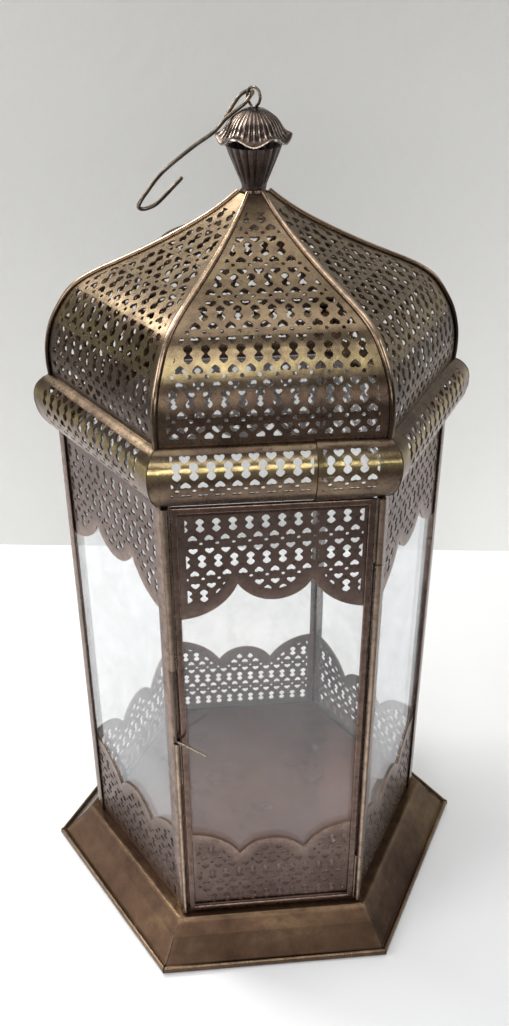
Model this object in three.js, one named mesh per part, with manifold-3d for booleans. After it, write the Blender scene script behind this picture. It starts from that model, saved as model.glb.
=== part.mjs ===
// Hexagonal pierced-metal candle lantern: tray base, glazed body with a hinged
// door, half-round band, ribbed dome roof, flower finial, hanging loop and hook.
// Millimetres, +Z up, origin at the centre of the underside, door facing -Y.

import * as THREE from 'three';
import { mergeVertices } from 'three/addons/utils/BufferGeometryUtils.js';
import Module from 'manifold-3d';

// ---------------------------------------------------------------- dimensions

const SIDES = 6;
const BODY_R = 112.0;          // corner radius of the glazed body
const GAP = 0.3;               // clearance kept between neighbouring pieces

// tray base
const BASE_R = 140.5;          // corner radius of the rim
const FOOT_Z = -3.0;           // underside of the tray in the heights used below; add() moves it to zero
const RIM_Z = FOOT_Z + 5.2;    // top of the rolled rim
const LEDGE_Z = 23.4;          // top of the tray, on which the body stands
const LEDGE_R = 117.6;         // corner radius where the sloping skirt meets the ledge
const TRAY_OPENING_R = 101.0;  // corner radius of the opening in the ledge
const HEM_R = 129.0;           // inner corner radius of the flat hem underneath
const SHEET = 1.0;             // sheet thickness

// body
const BODY_FOOT_Z = LEDGE_Z + GAP;
const BODY_TOP_Z = 317.0;      // top of the posts
const POST_LEG = 6.0;          // width of each leg of a corner post
const DOOR_POST_LEG = 4.6;     // front leg of the two posts beside the door
const DOOR_POST_PLANE = 95.9;  // those front legs are set back behind the door
const FLOOR_R = 106.4;
const FLOOR_T = 1.2;
const STRIP_T = 0.8;
const STRIP_PLANE = 95.7;      // outer face of the ornamental strips
const STRIP_HALF = 53.5;
const GLASS_T = 2.0;
const GLASS_PLANE = 94.6;      // outer face of the side panes
const GLASS_HALF = 52.5;
const PANEL_TOP_Z = 316.7;

// scalloped edges of the strips
const CUSP_X = 19.5;
const TOP_CUSP_Z = 270.3;
const TOP_MID_Z = 258.9;
const TOP_SIDE_Z = 250.2;
const BOTTOM_CUSP_Z = 71.1;
const BOTTOM_MID_Z = 81.9;
const BOTTOM_SIDE_Z = 90.1;

// door
const DOOR_FRONT = 98.0;
const DOOR_T = 1.8;
const DOOR_HALF = 51.7;
const DOOR_OPENING_HALF = 48.0;
const DOOR_Z0 = 24.3;
const DOOR_Z1 = 316.7;
const DOOR_BOTTOM_RAIL = 5.2;
const DOOR_TOP_RAIL = 5.4;
const DOOR_INSERT_HALF = 50.6; // half width of the door's glass and strips
const DOOR_STRIP_PLANE = DOOR_FRONT - DOOR_T - GAP;
const DOOR_GLASS_PLANE = DOOR_STRIP_PLANE - STRIP_T - GAP;

// hinge at the right of the door
const HINGE_X = 54.6;
const HINGE_Y = -98.2;
const TUBE_R = 1.95;
const BORE_R = 1.15;
const PIN_R = 0.8;
const KNUCKLE_LOW_TOP = 63.0;
const KNUCKLE_HIGH_FOOT = 278.0;

// latch at the left of the door
const LATCH_X = -54.3;
const LATCH_Y = -98.2;
const POST_TUBE_R = 1.6;
const BOLT_R = 0.85;
const LATCH_POST_TOP = 132.7;
const LATCH_SHORT_Z0 = 133.0;
const LATCH_SHORT_Z1 = 165.0;
const LATCH_HIGH_Z0 = 217.0;
const BOLT_Z0 = 133.4;
const BOLT_Z1 = 240.0;
const HANDLE_Z = 166.4;
const HANDLE_TIP = [-37.9, -112.4];

// ring and band at the foot of the roof
const RING_R = 111.0;
const RING_INNER_R = 108.4;
const BAND_T = 0.9;
const BAND_PROFILE = [
  [112.4, 317.3], [116.4, 319.8], [120.3, 324.8], [122.7, 331.4],
  [123.2, 338.0], [121.6, 343.4], [118.0, 347.4], [113.6, 349.7],
];

// roof: corner radius against height
const ROOF_T = 0.9;
const ROOF_PROFILE = [
  [112.9, 350.1], [113.2, 358.0], [112.4, 368.5], [109.0, 380.2],
  [102.4, 391.6], [96.8, 398.2], [89.6, 403.2], [81.0, 407.4],
  [71.7, 411.2], [59.0, 416.5], [46.6, 422.2], [35.5, 427.7],
  [25.2, 433.3], [16.0, 439.2], [9.0, 444.6],
];
const RIB_R = 1.7;
const RIB_CUT = 2.1;           // panels stop this far from a rib's centre plane

// finial
const STEM_HOLE_R = 2.9;
const CROWN_R = 6.2;
const NECK_R = 6.4;
const CUP_R = 13.7;
const CUP_Z0 = 447.2;
const CUP_Z1 = 468.0;
const FLOWER_PROFILE = [
  [18.6, 469.6], [19.2, 471.8], [18.0, 473.2], [15.4, 475.9],
  [12.4, 479.6], [8.6, 483.3], [5.4, 485.2], [3.0, 485.9],
];

// hanging loop (in its own plane) and hook
const LOOP_WIRE_R = 0.75;
const LOOP_HALF = 4.9;
const LOOP_TOP_Z = 495.2;
const LOOP_FOOT_Z = 441.0;
const LOOP_AZ = -55;           // direction of the loop's plane, degrees from +X
const HOOK_WIRE_R = 1.0;
const HOOK_PIVOT_S = -4.9;     // where the eye hangs on the loop's left strand
const HOOK_PIVOT_Z = 490.0;
// [along the loop's plane, outwards, height]
const HOOK_PATH = [
  [-8.3, 10.9, 481.7], [-7.9, 7.4, 486.0], [-7.4, 3.3, 490.2], [-7.0, 0.4, 491.9],
  [-6.4, -1.8, 492.6], [-4.9, -3.0, 492.5], [-3.3, -2.1, 491.9], [-2.7, -0.3, 490.9],
  [-2.75, 1.4, 489.3], [-2.95, 2.8, 487.9], [-3.3, 4.2, 486.9], [-4.0, 6.0, 485.7],
  [-5.1, 8.8, 483.8], [-6.3, 13.3, 480.7], [-6.8, 20.5, 475.4], [-6.8, 34.1, 469.8],
  [-6.8, 52.2, 460.8], [-6.8, 62.6, 452.3], [-6.8, 66.4, 448.4], [-6.8, 66.9, 446.6],
  [-6.8, 64.6, 445.4], [-6.8, 60.2, 445.6], [-6.8, 55.0, 447.4], [-6.8, 41.0, 456.4],
];

// ------------------------------------------------------------------- helpers

const wasm = await Module();
wasm.setup();

const rad = (d) => (d * Math.PI) / 180;

// Welds a geometry to bare positions and turns its faces outwards.
function weld(geometry) {
  let g = geometry.index ? geometry.toNonIndexed() : geometry.clone();
  for (const name of Object.keys(g.attributes)) if (name !== 'position') g.deleteAttribute(name);
  g.clearGroups();
  g = mergeVertices(g, 1e-4);
  const p = g.attributes.position;
  const kept = [];
  let volume = 0;
  const a = new THREE.Vector3(), b = new THREE.Vector3(), c = new THREE.Vector3();
  for (let i = 0; i < g.index.count; i += 3) {
    const [i0, i1, i2] = [g.index.getX(i), g.index.getX(i + 1), g.index.getX(i + 2)];
    if (i0 === i1 || i1 === i2 || i0 === i2) continue;
    a.fromBufferAttribute(p, i0); b.fromBufferAttribute(p, i1); c.fromBufferAttribute(p, i2);
    volume += a.dot(b.clone().cross(c));
    kept.push(i0, i1, i2);
  }
  if (volume < 0) for (let i = 0; i < kept.length; i += 3) [kept[i + 1], kept[i + 2]] = [kept[i + 2], kept[i + 1]];
  g.setIndex(kept);
  return g;
}

function toManifold(geometry) {
  const g = weld(geometry);
  return new wasm.Manifold(new wasm.Mesh({
    numProp: 3,
    vertProperties: new Float32Array(g.attributes.position.array),
    triVerts: new Uint32Array(g.index.array),
  }));
}

function fromManifold(m) {
  const mesh = m.getMesh();
  const g = new THREE.BufferGeometry();
  const n = mesh.vertProperties.length / mesh.numProp;
  const pos = new Float32Array(n * 3);
  for (let i = 0; i < n; i++) for (let k = 0; k < 3; k++) pos[i * 3 + k] = mesh.vertProperties[i * mesh.numProp + k];
  g.setAttribute('position', new THREE.BufferAttribute(pos, 3));
  g.setIndex(new THREE.BufferAttribute(new Uint32Array(mesh.triVerts), 1));
  return g;
}

// Solid of revolution about Z from a closed [radius, height] profile. Six
// segments give a hexagonal ring whose radius is measured at the corners.
function turned(profile, segments = SIDES) {
  const pts = [...profile, profile[0]].map(([r, z]) => new THREE.Vector2(r, z));
  return new THREE.LatheGeometry(pts, segments, Math.PI / 6).rotateX(Math.PI / 2);
}

// Closed profile of a sheet: the outer line and the same line moved inwards.
function sheetProfile(outer, t) {
  const n = outer.length;
  const inner = outer.map(([r, z], i) => {
    const [r0, z0] = outer[Math.max(0, i - 1)];
    const [r1, z1] = outer[Math.min(n - 1, i + 1)];
    const l = Math.hypot(r1 - r0, z1 - z0);
    return [r - (t * (z1 - z0)) / l, z + (t * (r1 - r0)) / l];
  });
  return [...outer, ...inner.reverse()];
}

// Sixty-degree sector about the direction `deg`, kept `cut` clear of both
// corner planes.
function sector(deg, cut, z0, z1) {
  const far = 260;
  const apex = 2 * cut;
  const s = new THREE.Shape();
  s.moveTo(apex, 0);
  s.lineTo(apex + far * Math.cos(rad(30)), -far * Math.sin(rad(30)));
  s.lineTo(apex + far * Math.cos(rad(30)), far * Math.sin(rad(30)));
  s.closePath();
  return new THREE.ExtrudeGeometry(s, { depth: z1 - z0, bevelEnabled: false })
    .rotateZ(rad(deg)).translate(0, 0, z0);
}

function slice(ring, deg, cut, z0, z1) {
  return fromManifold(ring.intersect(toManifold(sector(deg, cut, z0, z1))));
}

function polygon(points) {
  const s = new THREE.Shape();
  points.forEach(([x, y], i) => (i ? s.lineTo(x, y) : s.moveTo(x, y)));
  s.closePath();
  return s;
}

function hexagon(r) {
  return [...Array(SIDES).keys()].map((i) => [r * Math.cos(rad(60 * i)), r * Math.sin(rad(60 * i))]);
}

function prism(shape, z0, z1, curveSegments = 8) {
  return new THREE.ExtrudeGeometry(shape, { depth: z1 - z0, bevelEnabled: false, curveSegments }).translate(0, 0, z0);
}

// Flat panel drawn in (across, up) and stood on a body face: its outer face
// lies at `plane` from the axis and it is `t` thick inwards.
function panel(shape, t, plane, faceDeg, curveSegments = 8) {
  return new THREE.ExtrudeGeometry(shape, { depth: t, bevelEnabled: false, curveSegments })
    .rotateX(Math.PI / 2)               // (across, up) -> XZ, depth towards -Y
    .translate(0, t, 0)                 // outer face at y = 0, body towards +Y
    .translate(0, -plane, 0)
    .rotateZ(rad(faceDeg + 90));
}

// Tube standing on Z, with an optional side leaf drawn in the same plane.
function tube(x, y, r, bore, z0, z1, leaf) {
  const seg = 14;
  const ring = (rr) => [...Array(seg).keys()].map((i) => [
    x + rr * Math.cos((2 * Math.PI * i) / seg), y + rr * Math.sin((2 * Math.PI * i) / seg)]);
  let outer = new THREE.ExtrudeGeometry(polygon(ring(r)), { depth: z1 - z0, bevelEnabled: false }).translate(0, 0, z0);
  let body = toManifold(outer);
  if (leaf) body = body.add(toManifold(prism(polygon(leaf), z0, z1)));
  return fromManifold(body.subtract(toManifold(prism(polygon(ring(bore)), z0 - 1, z1 + 1))));
}

function round(r, seg) {
  return polygon([...Array(seg).keys()].map((i) => [r * Math.cos((2 * Math.PI * i) / seg), r * Math.sin((2 * Math.PI * i) / seg)]));
}

function wire(points, r, steps, seg = 8, tension = 0.5) {
  const curve = new THREE.CatmullRomCurve3(points.map((p) => new THREE.Vector3(...p)), false, 'centripetal', tension);
  return new THREE.ExtrudeGeometry(round(r, seg), { steps, extrudePath: curve, bevelEnabled: false });
}

// ----------------------------------------------------------------- materials

const mat = {
  bronze: new THREE.MeshStandardMaterial({ color: 0x4b3a33, metalness: 0.9, roughness: 0.42 }),
  brass: new THREE.MeshStandardMaterial({ color: 0x7c6a3c, metalness: 0.95, roughness: 0.38 }),
  tray: new THREE.MeshStandardMaterial({ color: 0x5f4630, metalness: 0.85, roughness: 0.4 }),
  edge: new THREE.MeshStandardMaterial({ color: 0xa08068, metalness: 0.95, roughness: 0.3 }),
  wire: new THREE.MeshStandardMaterial({ color: 0x5a4a38, metalness: 0.95, roughness: 0.3 }),
  glass: new THREE.MeshStandardMaterial({ color: 0xe6eef0, metalness: 0, roughness: 0.05, transparent: true, opacity: 0.25 }),
};

const lantern = new THREE.Group();
lantern.name = 'lantern';

function add(name, geometry, material, parent = lantern) {
  const mesh = new THREE.Mesh(weld(geometry.translate(0, 0, -FOOT_Z)), material);
  mesh.name = name;
  parent.add(mesh);
  return mesh;
}

const FACES = { front: -90, front_right: -30, back_right: 30, back: 90, back_left: 150, front_left: -150 };
const CORNERS = { front_right: -60, right: 0, back_right: 60, back_left: 120, left: 180, front_left: -120 };

// ---------------------------------------------------------------------- base

add('base_skirt', turned([
  [HEM_R, FOOT_Z], [BASE_R - 0.9, FOOT_Z], [BASE_R, FOOT_Z + 0.9], [BASE_R, RIM_Z - 0.9], [BASE_R - 0.9, RIM_Z], [BASE_R - 2.9, RIM_Z],
  [LEDGE_R, LEDGE_Z], [TRAY_OPENING_R, LEDGE_Z], [TRAY_OPENING_R, LEDGE_Z - SHEET], [LEDGE_R - 0.5, LEDGE_Z - SHEET],
  [BASE_R - 3.6, RIM_Z - 0.9], [BASE_R - 3.6, FOOT_Z + SHEET], [HEM_R, FOOT_Z + SHEET],
]), mat.tray);
add('floor_plate', prism(polygon(hexagon(FLOOR_R)), BODY_FOOT_Z, BODY_FOOT_Z + FLOOR_T), mat.tray);

// ---------------------------------------------------------------------- body

// Folded corner post: two legs meeting at 120 degrees, outer corner at `r`.
function post(deg, legA, legB, cx, cy) {
  const inner = SHEET / Math.sin(rad(60));
  const along = (sign, l) => [-0.5 * l, sign * Math.sin(rad(60)) * l];
  const normal = (sign) => [-Math.sin(rad(60)) * SHEET, -sign * 0.5 * SHEET];
  const [a, b] = [along(-1, legA), along(1, legB)];
  const [na, nb] = [normal(-1), normal(1)];
  const local = [[0, 0], b, [b[0] + nb[0], b[1] + nb[1]], [-inner, 0], [a[0] + na[0], a[1] + na[1]], a];
  return prism(polygon(local), BODY_FOOT_Z, BODY_TOP_Z).rotateZ(rad(deg)).translate(cx, cy, 0);
}

for (const [name, deg] of Object.entries(CORNERS)) {
  if (name.startsWith('front')) continue;
  add(`corner_post_${name}`, post(deg, POST_LEG, POST_LEG, BODY_R * Math.cos(rad(deg)), BODY_R * Math.sin(rad(deg))), mat.bronze);
}
// posts beside the door: their front legs lie in the plane y = -DOOR_POST_PLANE
const APOTHEM = BODY_R * Math.cos(rad(30));
const doorPostX = (APOTHEM - 0.5 * DOOR_POST_PLANE) / Math.cos(rad(30));
add('corner_post_front_right', post(-60, DOOR_POST_LEG, POST_LEG + 0.6, doorPostX, -DOOR_POST_PLANE), mat.bronze);
add('corner_post_front_left', post(-120, POST_LEG + 0.6, DOOR_POST_LEG, -doorPostX, -DOOR_POST_PLANE), mat.bronze);

function arcThrough(x0, z0, xm, zm, x1, z1, n) {
  // circular arc through three points, x0 and x1 included
  const ax = x1 - x0, az = z1 - z0, bx = xm - x0, bz = zm - z0;
  const d = 2 * (ax * bz - az * bx);
  const ux = (bz * (ax * ax + az * az) - az * (bx * bx + bz * bz)) / d;
  const uz = (ax * (bx * bx + bz * bz) - bx * (ax * ax + az * az)) / d;
  const r = Math.hypot(ux, uz), cx = x0 + ux, cz = z0 + uz;
  const t0 = Math.atan2(z0 - cz, x0 - cx);
  let t1 = Math.atan2(z1 - cz, x1 - cx);
  const tm = Math.atan2(zm - cz, xm - cx);
  const norm = (t, ref) => { while (t < ref) t += 2 * Math.PI; return t; };
  if (norm(tm, t0) > norm(t1, t0)) t1 = norm(t1, t0) - 2 * Math.PI;
  else t1 = norm(t1, t0);
  return [...Array(n + 1).keys()].map((i) => {
    const t = t0 + ((t1 - t0) * i) / n;
    return [cx + r * Math.cos(t), cz + r * Math.sin(t)];
  });
}

// Outline of a strip: straight on one long side, three lobes on the other.
function scalloped(half, zStraight, cuspZ, midZ, sideZ) {
  const mid = arcThrough(-CUSP_X, cuspZ, 0, midZ, CUSP_X, cuspZ, 8);
  const sx = half - CUSP_X, sz = sideZ - cuspZ;
  const rr = (sx * sx + sz * sz) / (2 * Math.abs(sz));
  const dir = Math.sign(sz);
  const side = [];
  for (let i = 1; i <= 5; i++) {
    const x = CUSP_X + (sx * i) / 5;
    side.push([x, sideZ - dir * (rr - Math.sqrt(rr * rr - (half - x) ** 2))]);
  }
  const edge = [...side.map(([x, z]) => [-x, z]).reverse(), ...mid, ...side];
  return polygon([[half, zStraight], [-half, zStraight], ...edge]);
}

const rect = (half, z0, z1) => polygon([[-half, z0], [half, z0], [half, z1], [-half, z1]]);

for (const [name, deg] of Object.entries(FACES)) {
  if (name === 'front') continue;
  add(`glass_pane_${name}`, panel(rect(GLASS_HALF, BODY_FOOT_Z + 0.2, PANEL_TOP_Z), GLASS_T, GLASS_PLANE, deg), mat.glass);
  add(`top_strip_${name}`, panel(scalloped(STRIP_HALF, PANEL_TOP_Z, TOP_CUSP_Z, TOP_MID_Z, TOP_SIDE_Z), STRIP_T, STRIP_PLANE, deg), mat.bronze);
  add(`bottom_strip_${name}`, panel(scalloped(STRIP_HALF, BODY_FOOT_Z, BOTTOM_CUSP_Z, BOTTOM_MID_Z, BOTTOM_SIDE_Z), STRIP_T, STRIP_PLANE, deg), mat.bronze);
}

add('top_ring', (() => {
  const s = polygon(hexagon(RING_R));
  s.holes.push(new THREE.Path(hexagon(RING_INNER_R).reverse().map(([x, y]) => new THREE.Vector2(x, y))));
  return prism(s, BODY_TOP_Z + GAP, BODY_TOP_Z + GAP + SHEET);
})(), mat.bronze);

// ---------------------------------------------------------------------- door

const door = new THREE.Group();
door.name = 'door';
lantern.add(door);

add('door_frame', (() => {
  const s = rect(DOOR_HALF, DOOR_Z0, DOOR_Z1);
  const [w, a, b] = [DOOR_OPENING_HALF, DOOR_Z0 + DOOR_BOTTOM_RAIL, DOOR_Z1 - DOOR_TOP_RAIL];
  s.holes.push(new THREE.Path([[-w, a], [-w, b], [w, b], [w, a]].map(([x, y]) => new THREE.Vector2(x, y))));
  return panel(s, DOOR_T, DOOR_FRONT, -90);
})(), mat.bronze, door);
add('door_top_strip', panel(scalloped(DOOR_INSERT_HALF, DOOR_Z1 - 0.6, TOP_CUSP_Z, TOP_MID_Z, TOP_SIDE_Z), STRIP_T, DOOR_STRIP_PLANE, -90), mat.bronze, door);
add('door_bottom_strip', panel(scalloped(DOOR_INSERT_HALF, DOOR_Z0 + 0.6, BOTTOM_CUSP_Z, BOTTOM_MID_Z, BOTTOM_SIDE_Z), STRIP_T, DOOR_STRIP_PLANE, -90), mat.bronze, door);
add('door_glass', panel(rect(DOOR_INSERT_HALF - 0.2, DOOR_Z0 + 0.6, DOOR_Z1 - 0.6), GLASS_T, DOOR_GLASS_PLANE, -90), mat.glass, door);

const hingeLeaf = [[DOOR_HALF + GAP, -DOOR_FRONT], [HINGE_X, -DOOR_FRONT], [HINGE_X, -DOOR_FRONT + 1.2], [DOOR_HALF + GAP, -DOOR_FRONT + 1.2]];
add('hinge_knuckle_lower', tube(HINGE_X, HINGE_Y, TUBE_R, BORE_R, DOOR_Z0, KNUCKLE_LOW_TOP, hingeLeaf), mat.edge, door);
add('hinge_knuckle_upper', tube(HINGE_X, HINGE_Y, TUBE_R, BORE_R, KNUCKLE_HIGH_FOOT, DOOR_Z1, hingeLeaf), mat.edge, door);
add('hinge_sleeve', tube(HINGE_X, HINGE_Y, TUBE_R, BORE_R, KNUCKLE_LOW_TOP + GAP, KNUCKLE_HIGH_FOOT - GAP), mat.edge);
add('hinge_pin', prism(round(PIN_R, 10), DOOR_Z0 + 0.2, DOOR_Z1 - 0.2).translate(HINGE_X, HINGE_Y, 0), mat.wire);

const latchLeaf = [[-DOOR_HALF - GAP, -DOOR_FRONT], [-DOOR_HALF - GAP, -DOOR_FRONT + 1.2], [LATCH_X, -DOOR_FRONT + 1.2], [LATCH_X, -DOOR_FRONT]];
add('latch_tube_upper', tube(LATCH_X, LATCH_Y, TUBE_R, BORE_R, LATCH_HIGH_Z0, DOOR_Z1, latchLeaf), mat.edge, door);
add('latch_tube_short', tube(LATCH_X, LATCH_Y, TUBE_R, BORE_R, LATCH_SHORT_Z0, LATCH_SHORT_Z1, latchLeaf), mat.edge, door);
add('latch_tube_post', tube(LATCH_X, LATCH_Y, POST_TUBE_R, BORE_R, DOOR_Z0, LATCH_POST_TOP), mat.edge);

// drop bolt: a straight wire with a handle standing out of it
const handleDir = new THREE.Vector3(HANDLE_TIP[0] - LATCH_X, HANDLE_TIP[1] - LATCH_Y, 0);
const handleGeo = new THREE.CylinderGeometry(BOLT_R, BOLT_R, handleDir.length(), 10)
  .translate(0, handleDir.length() / 2, 0).rotateZ(-Math.PI / 2)
  .rotateZ(Math.atan2(handleDir.y, handleDir.x)).translate(LATCH_X, LATCH_Y, HANDLE_Z);
const boltGeo = prism(round(BOLT_R, 12), BOLT_Z0, BOLT_Z1).translate(LATCH_X, LATCH_Y, 0);
add('latch_bolt', fromManifold(toManifold(boltGeo).add(toManifold(handleGeo))), mat.wire, door);

// ---------------------------------------------------------------- band, roof

const bandRing = toManifold(turned(sheetProfile(BAND_PROFILE, BAND_T)));
const roofRing = toManifold(turned(sheetProfile(ROOF_PROFILE, ROOF_T)));
for (const [name, deg] of Object.entries(FACES)) {
  add(`band_segment_${name}`, slice(bandRing, deg, GAP / 2, 300, 370), mat.brass);
  add(`roof_panel_${name}`, slice(roofRing, deg, RIB_CUT, 340, 460), mat.brass);
}
for (const [name, deg] of Object.entries(CORNERS)) {
  const path = ROOF_PROFILE.map(([r, z], i) => {
    const [r0, z0] = ROOF_PROFILE[Math.max(0, i - 1)];
    const [r1, z1] = ROOF_PROFILE[Math.min(ROOF_PROFILE.length - 1, i + 1)];
    const l = Math.hypot(r1 - r0, z1 - z0);
    return [r + (0.4 * (z1 - z0)) / l, 0, z - (0.4 * (r1 - r0)) / l];
  });
  path[0][2] += 0.4;
  add(`roof_rib_${name}`, wire(path, RIB_R, 26).rotateZ(rad(deg)), mat.edge);
}

// -------------------------------------------------------------------- finial

add('roof_crown', turned([[STEM_HOLE_R, 443.0], [CROWN_R - 0.6, 443.0], [CROWN_R, 446.9], [STEM_HOLE_R, 446.9]], 14), mat.bronze);
add('finial_cup', turned([
  [STEM_HOLE_R, CUP_Z0], [NECK_R, CUP_Z0], [NECK_R + 0.7, CUP_Z0 + 4.6], [CUP_R, CUP_Z1], [CUP_R - 0.9, CUP_Z1],
  [NECK_R - 0.2, CUP_Z0 + 4.8], [NECK_R - 0.9, CUP_Z0 + 1], [STEM_HOLE_R, CUP_Z0 + 1],
], 16), mat.bronze);
add('finial_flower', turned(sheetProfile(FLOWER_PROFILE, 0.8), 24), mat.bronze);

const loopPoints = [
  [-1.25, LOOP_FOOT_Z], [-1.25, 460], [-1.25, 478], [-1.35, 484.4], [-1.95, 486.3], [-3.9, 488.2], [-LOOP_HALF, 490.7],
  [-3.7, 493.8], [0, LOOP_TOP_Z], [3.7, 493.8], [LOOP_HALF, 490.7], [3.9, 488.2], [1.95, 486.3], [1.35, 484.4],
  [1.25, 478], [1.25, 460], [1.25, LOOP_FOOT_Z],
].map(([s, z]) => [s, 0, z]);
add('hanging_loop', wire(loopPoints, LOOP_WIRE_R, 64, 8).rotateZ(rad(LOOP_AZ)), mat.wire);

// ---------------------------------------------------------------------- hook

const H = new THREE.Vector3(Math.cos(rad(LOOP_AZ)), Math.sin(rad(LOOP_AZ)), 0);
const F = new THREE.Vector3(Math.cos(rad(LOOP_AZ - 90)), Math.sin(rad(LOOP_AZ - 90)), 0);
const hookPoints = HOOK_PATH.map(([s, h, z]) => [s * H.x + h * F.x, s * H.y + h * F.y, z]);
add('hook', wire(hookPoints, HOOK_WIRE_R, 84, 8), mat.wire);

export default lantern;
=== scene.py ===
"""Looks for the hexagonal pierced-metal candle lantern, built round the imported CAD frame.
All lengths below are in millimetres in the CAD's frame and are turned into metres when a mesh is made."""
import bpy, math
import numpy as np
from mathutils import Vector, Matrix, noise
from mathutils.geometry import delaunay_2d_cdt


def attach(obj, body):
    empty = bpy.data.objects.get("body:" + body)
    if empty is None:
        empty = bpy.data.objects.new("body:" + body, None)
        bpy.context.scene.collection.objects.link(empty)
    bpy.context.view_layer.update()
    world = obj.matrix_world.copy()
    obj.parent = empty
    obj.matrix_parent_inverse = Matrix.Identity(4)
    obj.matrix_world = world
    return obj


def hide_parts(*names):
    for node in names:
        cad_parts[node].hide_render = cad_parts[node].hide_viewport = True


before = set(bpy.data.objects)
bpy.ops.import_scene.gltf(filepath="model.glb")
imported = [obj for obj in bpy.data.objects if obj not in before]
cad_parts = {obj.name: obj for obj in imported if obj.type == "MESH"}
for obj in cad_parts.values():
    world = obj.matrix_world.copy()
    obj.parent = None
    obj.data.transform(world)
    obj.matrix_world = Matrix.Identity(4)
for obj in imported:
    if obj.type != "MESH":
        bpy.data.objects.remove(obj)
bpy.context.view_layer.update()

C30, S30 = math.cos(math.radians(30)), 0.5
LIFT = 3.0      # heights below are measured from 3 mm above the underside of the tray
FACES = {"front": -90, "front_right": -30, "back_right": 30, "back": 90, "back_left": 150, "front_left": -150}
CORNERS = {"front_right": -60, "right": 0, "back_right": 60, "back_left": 120, "left": 180, "front_left": -120}


def d2r(a):
    return math.radians(a)


# ------------------------------------------------------------------ profiles
def resample(pts, step):
    """Catmull-Rom through the points, then equal steps of arc length."""
    p = np.array(pts, float)
    q = np.vstack([2 * p[0] - p[1], p, 2 * p[-1] - p[-2]])
    out = []
    for i in range(1, len(q) - 2):
        a, b, c, d = q[i - 1], q[i], q[i + 1], q[i + 2]
        for t in np.linspace(0, 1, 24, endpoint=False):
            out.append(0.5 * ((2 * b) + (-a + c) * t + (2 * a - 5 * b + 4 * c - d) * t * t + (-a + 3 * b - 3 * c + d) * t ** 3))
    out.append(q[-2])
    out = np.array(out)
    s = np.concatenate([[0], np.cumsum(np.linalg.norm(np.diff(out, axis=0), axis=1))])
    n = max(2, int(round(s[-1] / step)) + 1)
    t = np.linspace(0, s[-1], n)
    return np.stack([np.interp(t, s, out[:, k]) for k in range(out.shape[1])], 1)


class Meridian:
    """Corner radius against height, read by arc length along the middle of a face."""

    def __init__(self, pts):
        fine = resample(pts, 0.5)
        self.r, self.z = fine[:, 0], fine[:, 1]
        a = self.r * C30
        self.s = np.concatenate([[0], np.cumsum(np.hypot(np.diff(a), np.diff(self.z)))])
        da, dz = np.gradient(a, self.s), np.gradient(self.z, self.s)
        l = np.hypot(da, dz)
        self.na, self.nz = dz / l, -da / l
        self.length = self.s[-1]

    def at(self, s):
        return (np.interp(s, self.s, self.r), np.interp(s, self.s, self.z),
                np.interp(s, self.s, self.na), np.interp(s, self.s, self.nz))

    def s_of_z(self, z):
        return float(np.interp(z, self.z, self.s))


ROOF = Meridian([(112.75, 349.5), (113.2, 358.0), (112.4, 368.5), (109.0, 380.2), (102.4, 391.6), (96.8, 398.2),
                 (89.6, 403.2), (81.0, 407.4), (71.7, 411.2), (59.0, 416.5), (46.6, 422.2), (35.5, 427.7),
                 (25.2, 433.3), (16.0, 439.2), (7.6, 445.6)])
BAND_PTS = [(110.4, 317.25), (112.8, 317.55), (116.4, 319.8), (120.3, 324.8), (122.7, 331.4), (123.2, 338.0), (121.6, 343.4),
            (118.0, 347.4), (114.6, 349.35), (112.6, 349.95)]
BAND = Meridian(BAND_PTS)


# ----------------------------------------------------------------- materials
def new_mat(name):
    m = bpy.data.materials.new(name)
    m.use_nodes = True
    nt = m.node_tree
    nt.nodes.clear()
    out = nt.nodes.new("ShaderNodeOutputMaterial")
    return m, nt, out


class N:
    """Short hand for wiring nodes."""

    def __init__(self, nt):
        self.nt = nt

    def node(self, kind, **kw):
        n = self.nt.nodes.new(kind)
        for k, v in kw.items():
            if k in n.inputs:
                n.inputs[k].default_value = v
            else:
                setattr(n, k, v)
        return n

    def link(self, a, b):
        self.nt.links.new(a, b)

    def noise(self, scale, detail=4.0, rough=0.55, vec=None, distortion=0.0):
        n = self.node("ShaderNodeTexNoise")
        n.inputs["Scale"].default_value = scale
        n.inputs["Detail"].default_value = detail
        n.inputs["Roughness"].default_value = rough
        n.inputs["Distortion"].default_value = distortion
        if vec is not None:
            self.link(vec, n.inputs["Vector"])
        return n.outputs["Fac"]

    def ramp(self, fac, stops):
        n = self.node("ShaderNodeValToRGB")
        cr = n.color_ramp
        while len(cr.elements) < len(stops):
            cr.elements.new(0.5)
        for e, (p, c) in zip(cr.elements, stops):
            e.position = p
            e.color = c if len(c) == 4 else (*c, 1)
        self.link(fac, n.inputs["Fac"])
        return n.outputs["Color"]

    def rng(self, fac, lo, hi, a=0.0, b=1.0):
        n = self.node("ShaderNodeMapRange")
        n.inputs["From Min"].default_value = a
        n.inputs["From Max"].default_value = b
        n.inputs["To Min"].default_value = lo
        n.inputs["To Max"].default_value = hi
        self.link(fac, n.inputs["Value"])
        return n.outputs["Result"]

    def mix(self, fac, a, b, blend="MIX"):
        n = self.node("ShaderNodeMix", data_type="RGBA", blend_type=blend)
        if isinstance(fac, (int, float)):
            n.inputs[0].default_value = fac
        else:
            self.link(fac, n.inputs[0])
        for sock, v in ((n.inputs[6], a), (n.inputs[7], b)):
            if isinstance(v, tuple):
                sock.default_value = v if len(v) == 4 else (*v, 1)
            else:
                self.link(v, sock)
        return n.outputs[2]

    def math(self, op, a, b=None, clamp=False):
        n = self.node("ShaderNodeMath", operation=op, use_clamp=clamp)
        for sock, v in ((n.inputs[0], a), (n.inputs[1], b)):
            if v is None:
                continue
            if isinstance(v, (int, float)):
                sock.default_value = v
            else:
                self.link(v, sock)
        return n.outputs[0]


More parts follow.
